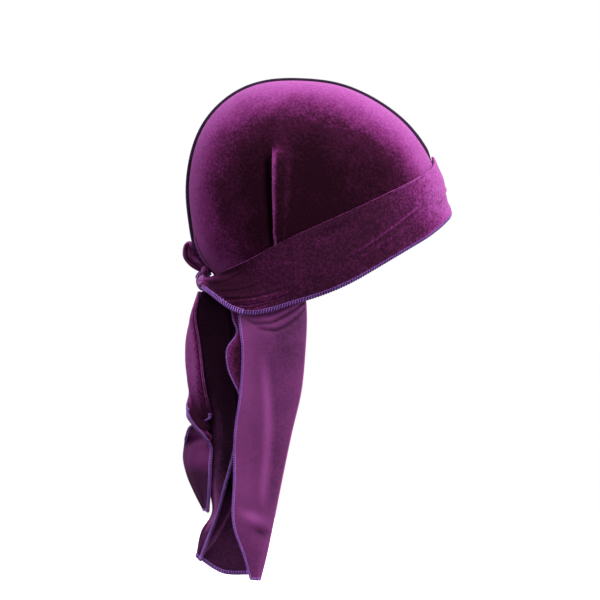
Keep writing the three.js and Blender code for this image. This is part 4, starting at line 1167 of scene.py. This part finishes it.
cornerNames = ("edge", "belly", "hidden")
cornerSections = (
    {"z": -164, "edge": (-55, -42), "belly": (-50, -46), "hidden": (-43, -50)},
    {"z": -178, "edge": (-53.4, -43.5), "belly": (-49, -47), "hidden": (-43, -50.5)},
    {"z": -188, "edge": (-50.4, -46.4), "belly": (-47, -48.8), "hidden": (-42.6, -51)},
    {"z": -200, "edge": (-57.6, -45), "belly": (-51, -50.4), "hidden": (-42, -52)},
    {"z": -214, "edge": (-57, -45), "belly": (-51, -50), "hidden": (-42, -52)},
    {"z": -228, "edge": (-51, -46.6), "belly": (-47.6, -49.4), "hidden": (-42.6, -51.8)},
    {"z": -238, "edge": (-46.6, -49), "belly": (-45, -50), "hidden": (-43, -51.6)},
)


def makeCorner():
    us = np.linspace(0, 1, 30)
    vs = np.linspace(0, 1, 90)
    points = hangingSheet(cornerSections, cornerNames)(us, vs)
    piece = gridPiece("capeCornerCloth", points, us, vs)
    wear(piece, strapVelvet, strapVelvet, strapVelvet)
    thicken(piece, 1.2)
    threads = meshPiece("capeCornerOverlock", overlockRun(*borderOf(points, "start"), fineOverlock), brightPair)
    return piece, threads


cornerCloth, cornerOverlock = makeCorner()
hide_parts("cape_corner")
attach(cornerCloth, "root")
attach(cornerOverlock, "root")
print("cape corner made")
# ---- light and floor: a white surround, whose light comes mostly from above and ahead
studio = {"floor": 0.62, "towards": (0.47, 0.0, 0.883), "strength": 3.2}
world = bpy.data.worlds.new("studioWorld")
bpy.context.scene.world = world
world.use_nodes = True
sky = world.node_tree
background = sky.nodes["Background"]
background.inputs["Color"].default_value = (1, 1, 1, 1)
direction = nodeIn(sky, "ShaderNodeTexCoord", (-1000, 0))
along = nodeIn(sky, "ShaderNodeVectorMath", (-800, 0), operation="DOT_PRODUCT")
along.inputs[1].default_value = studio["towards"]
half = nodeIn(sky, "ShaderNodeMath", (-600, 0), operation="MULTIPLY_ADD")
half.inputs[1].default_value = 0.5
half.inputs[2].default_value = 0.5
gather = nodeIn(sky, "ShaderNodeMath", (-400, 0), operation="POWER")
gather.inputs[1].default_value = 2.0
level = nodeIn(sky, "ShaderNodeMath", (-200, 0), operation="MULTIPLY")
level.inputs[1].default_value = studio["strength"]
plain = nodeIn(sky, "ShaderNodeBackground", (0, -200))
plain.inputs["Color"].default_value = (1, 1, 1, 1)
seen = nodeIn(sky, "ShaderNodeLightPath", (0, 300))
choice = nodeIn(sky, "ShaderNodeMixShader", (250, 100))
sky.links.new(direction.outputs["Generated"], along.inputs[0])
sky.links.new(along.outputs["Value"], half.inputs[0])
sky.links.new(half.outputs[0], gather.inputs[0])
sky.links.new(gather.outputs[0], level.inputs[0])
sky.links.new(level.outputs[0], background.inputs["Strength"])
sky.links.new(seen.outputs["Is Camera Ray"], choice.inputs["Fac"])
sky.links.new(background.outputs["Background"], choice.inputs[1])
sky.links.new(plain.outputs["Background"], choice.inputs[2])
sky.links.new(choice.outputs["Shader"], sky.nodes["World Output"].inputs["Surface"])
bpy.context.scene.view_settings.view_transform = "Standard"


def softLight(name, place, aim, size, power):
    data = bpy.data.lights.new(name, "AREA")
    data.shape = "DISK"
    data.size = size
    data.energy = power
    lamp = bpy.data.objects.new(name, data)
    lamp.location = place
    lamp.rotation_euler = (Vector(aim) - Vector(place)).to_track_quat("-Z", "Y").to_euler()
    bpy.context.scene.collection.objects.link(lamp)


softLight("keyLight", (0.6, -1.3, 0.9), (0, 0, -0.15), 0.7, 4)

clearSelection()
bpy.ops.mesh.primitive_plane_add(size=12, location=(0, 0, cadBox[0][2] - studio["floor"]))
floor = bpy.context.object
floor.name = "studioFloor"
floor.visible_diffuse = False  # it throws no light back up at the cloth
floor.visible_glossy = False
floorFinish = bpy.data.materials.new("paleFloor")
floorFinish.use_nodes = True
floorFinish.node_tree.nodes["Principled BSDF"].inputs["Base Color"].default_value = (0.985, 0.985, 0.985, 1)
floorFinish.node_tree.nodes["Principled BSDF"].inputs["Roughness"].default_value = 0.9
floor.data.materials.append(floorFinish)
print("studio made")

clearSelection()
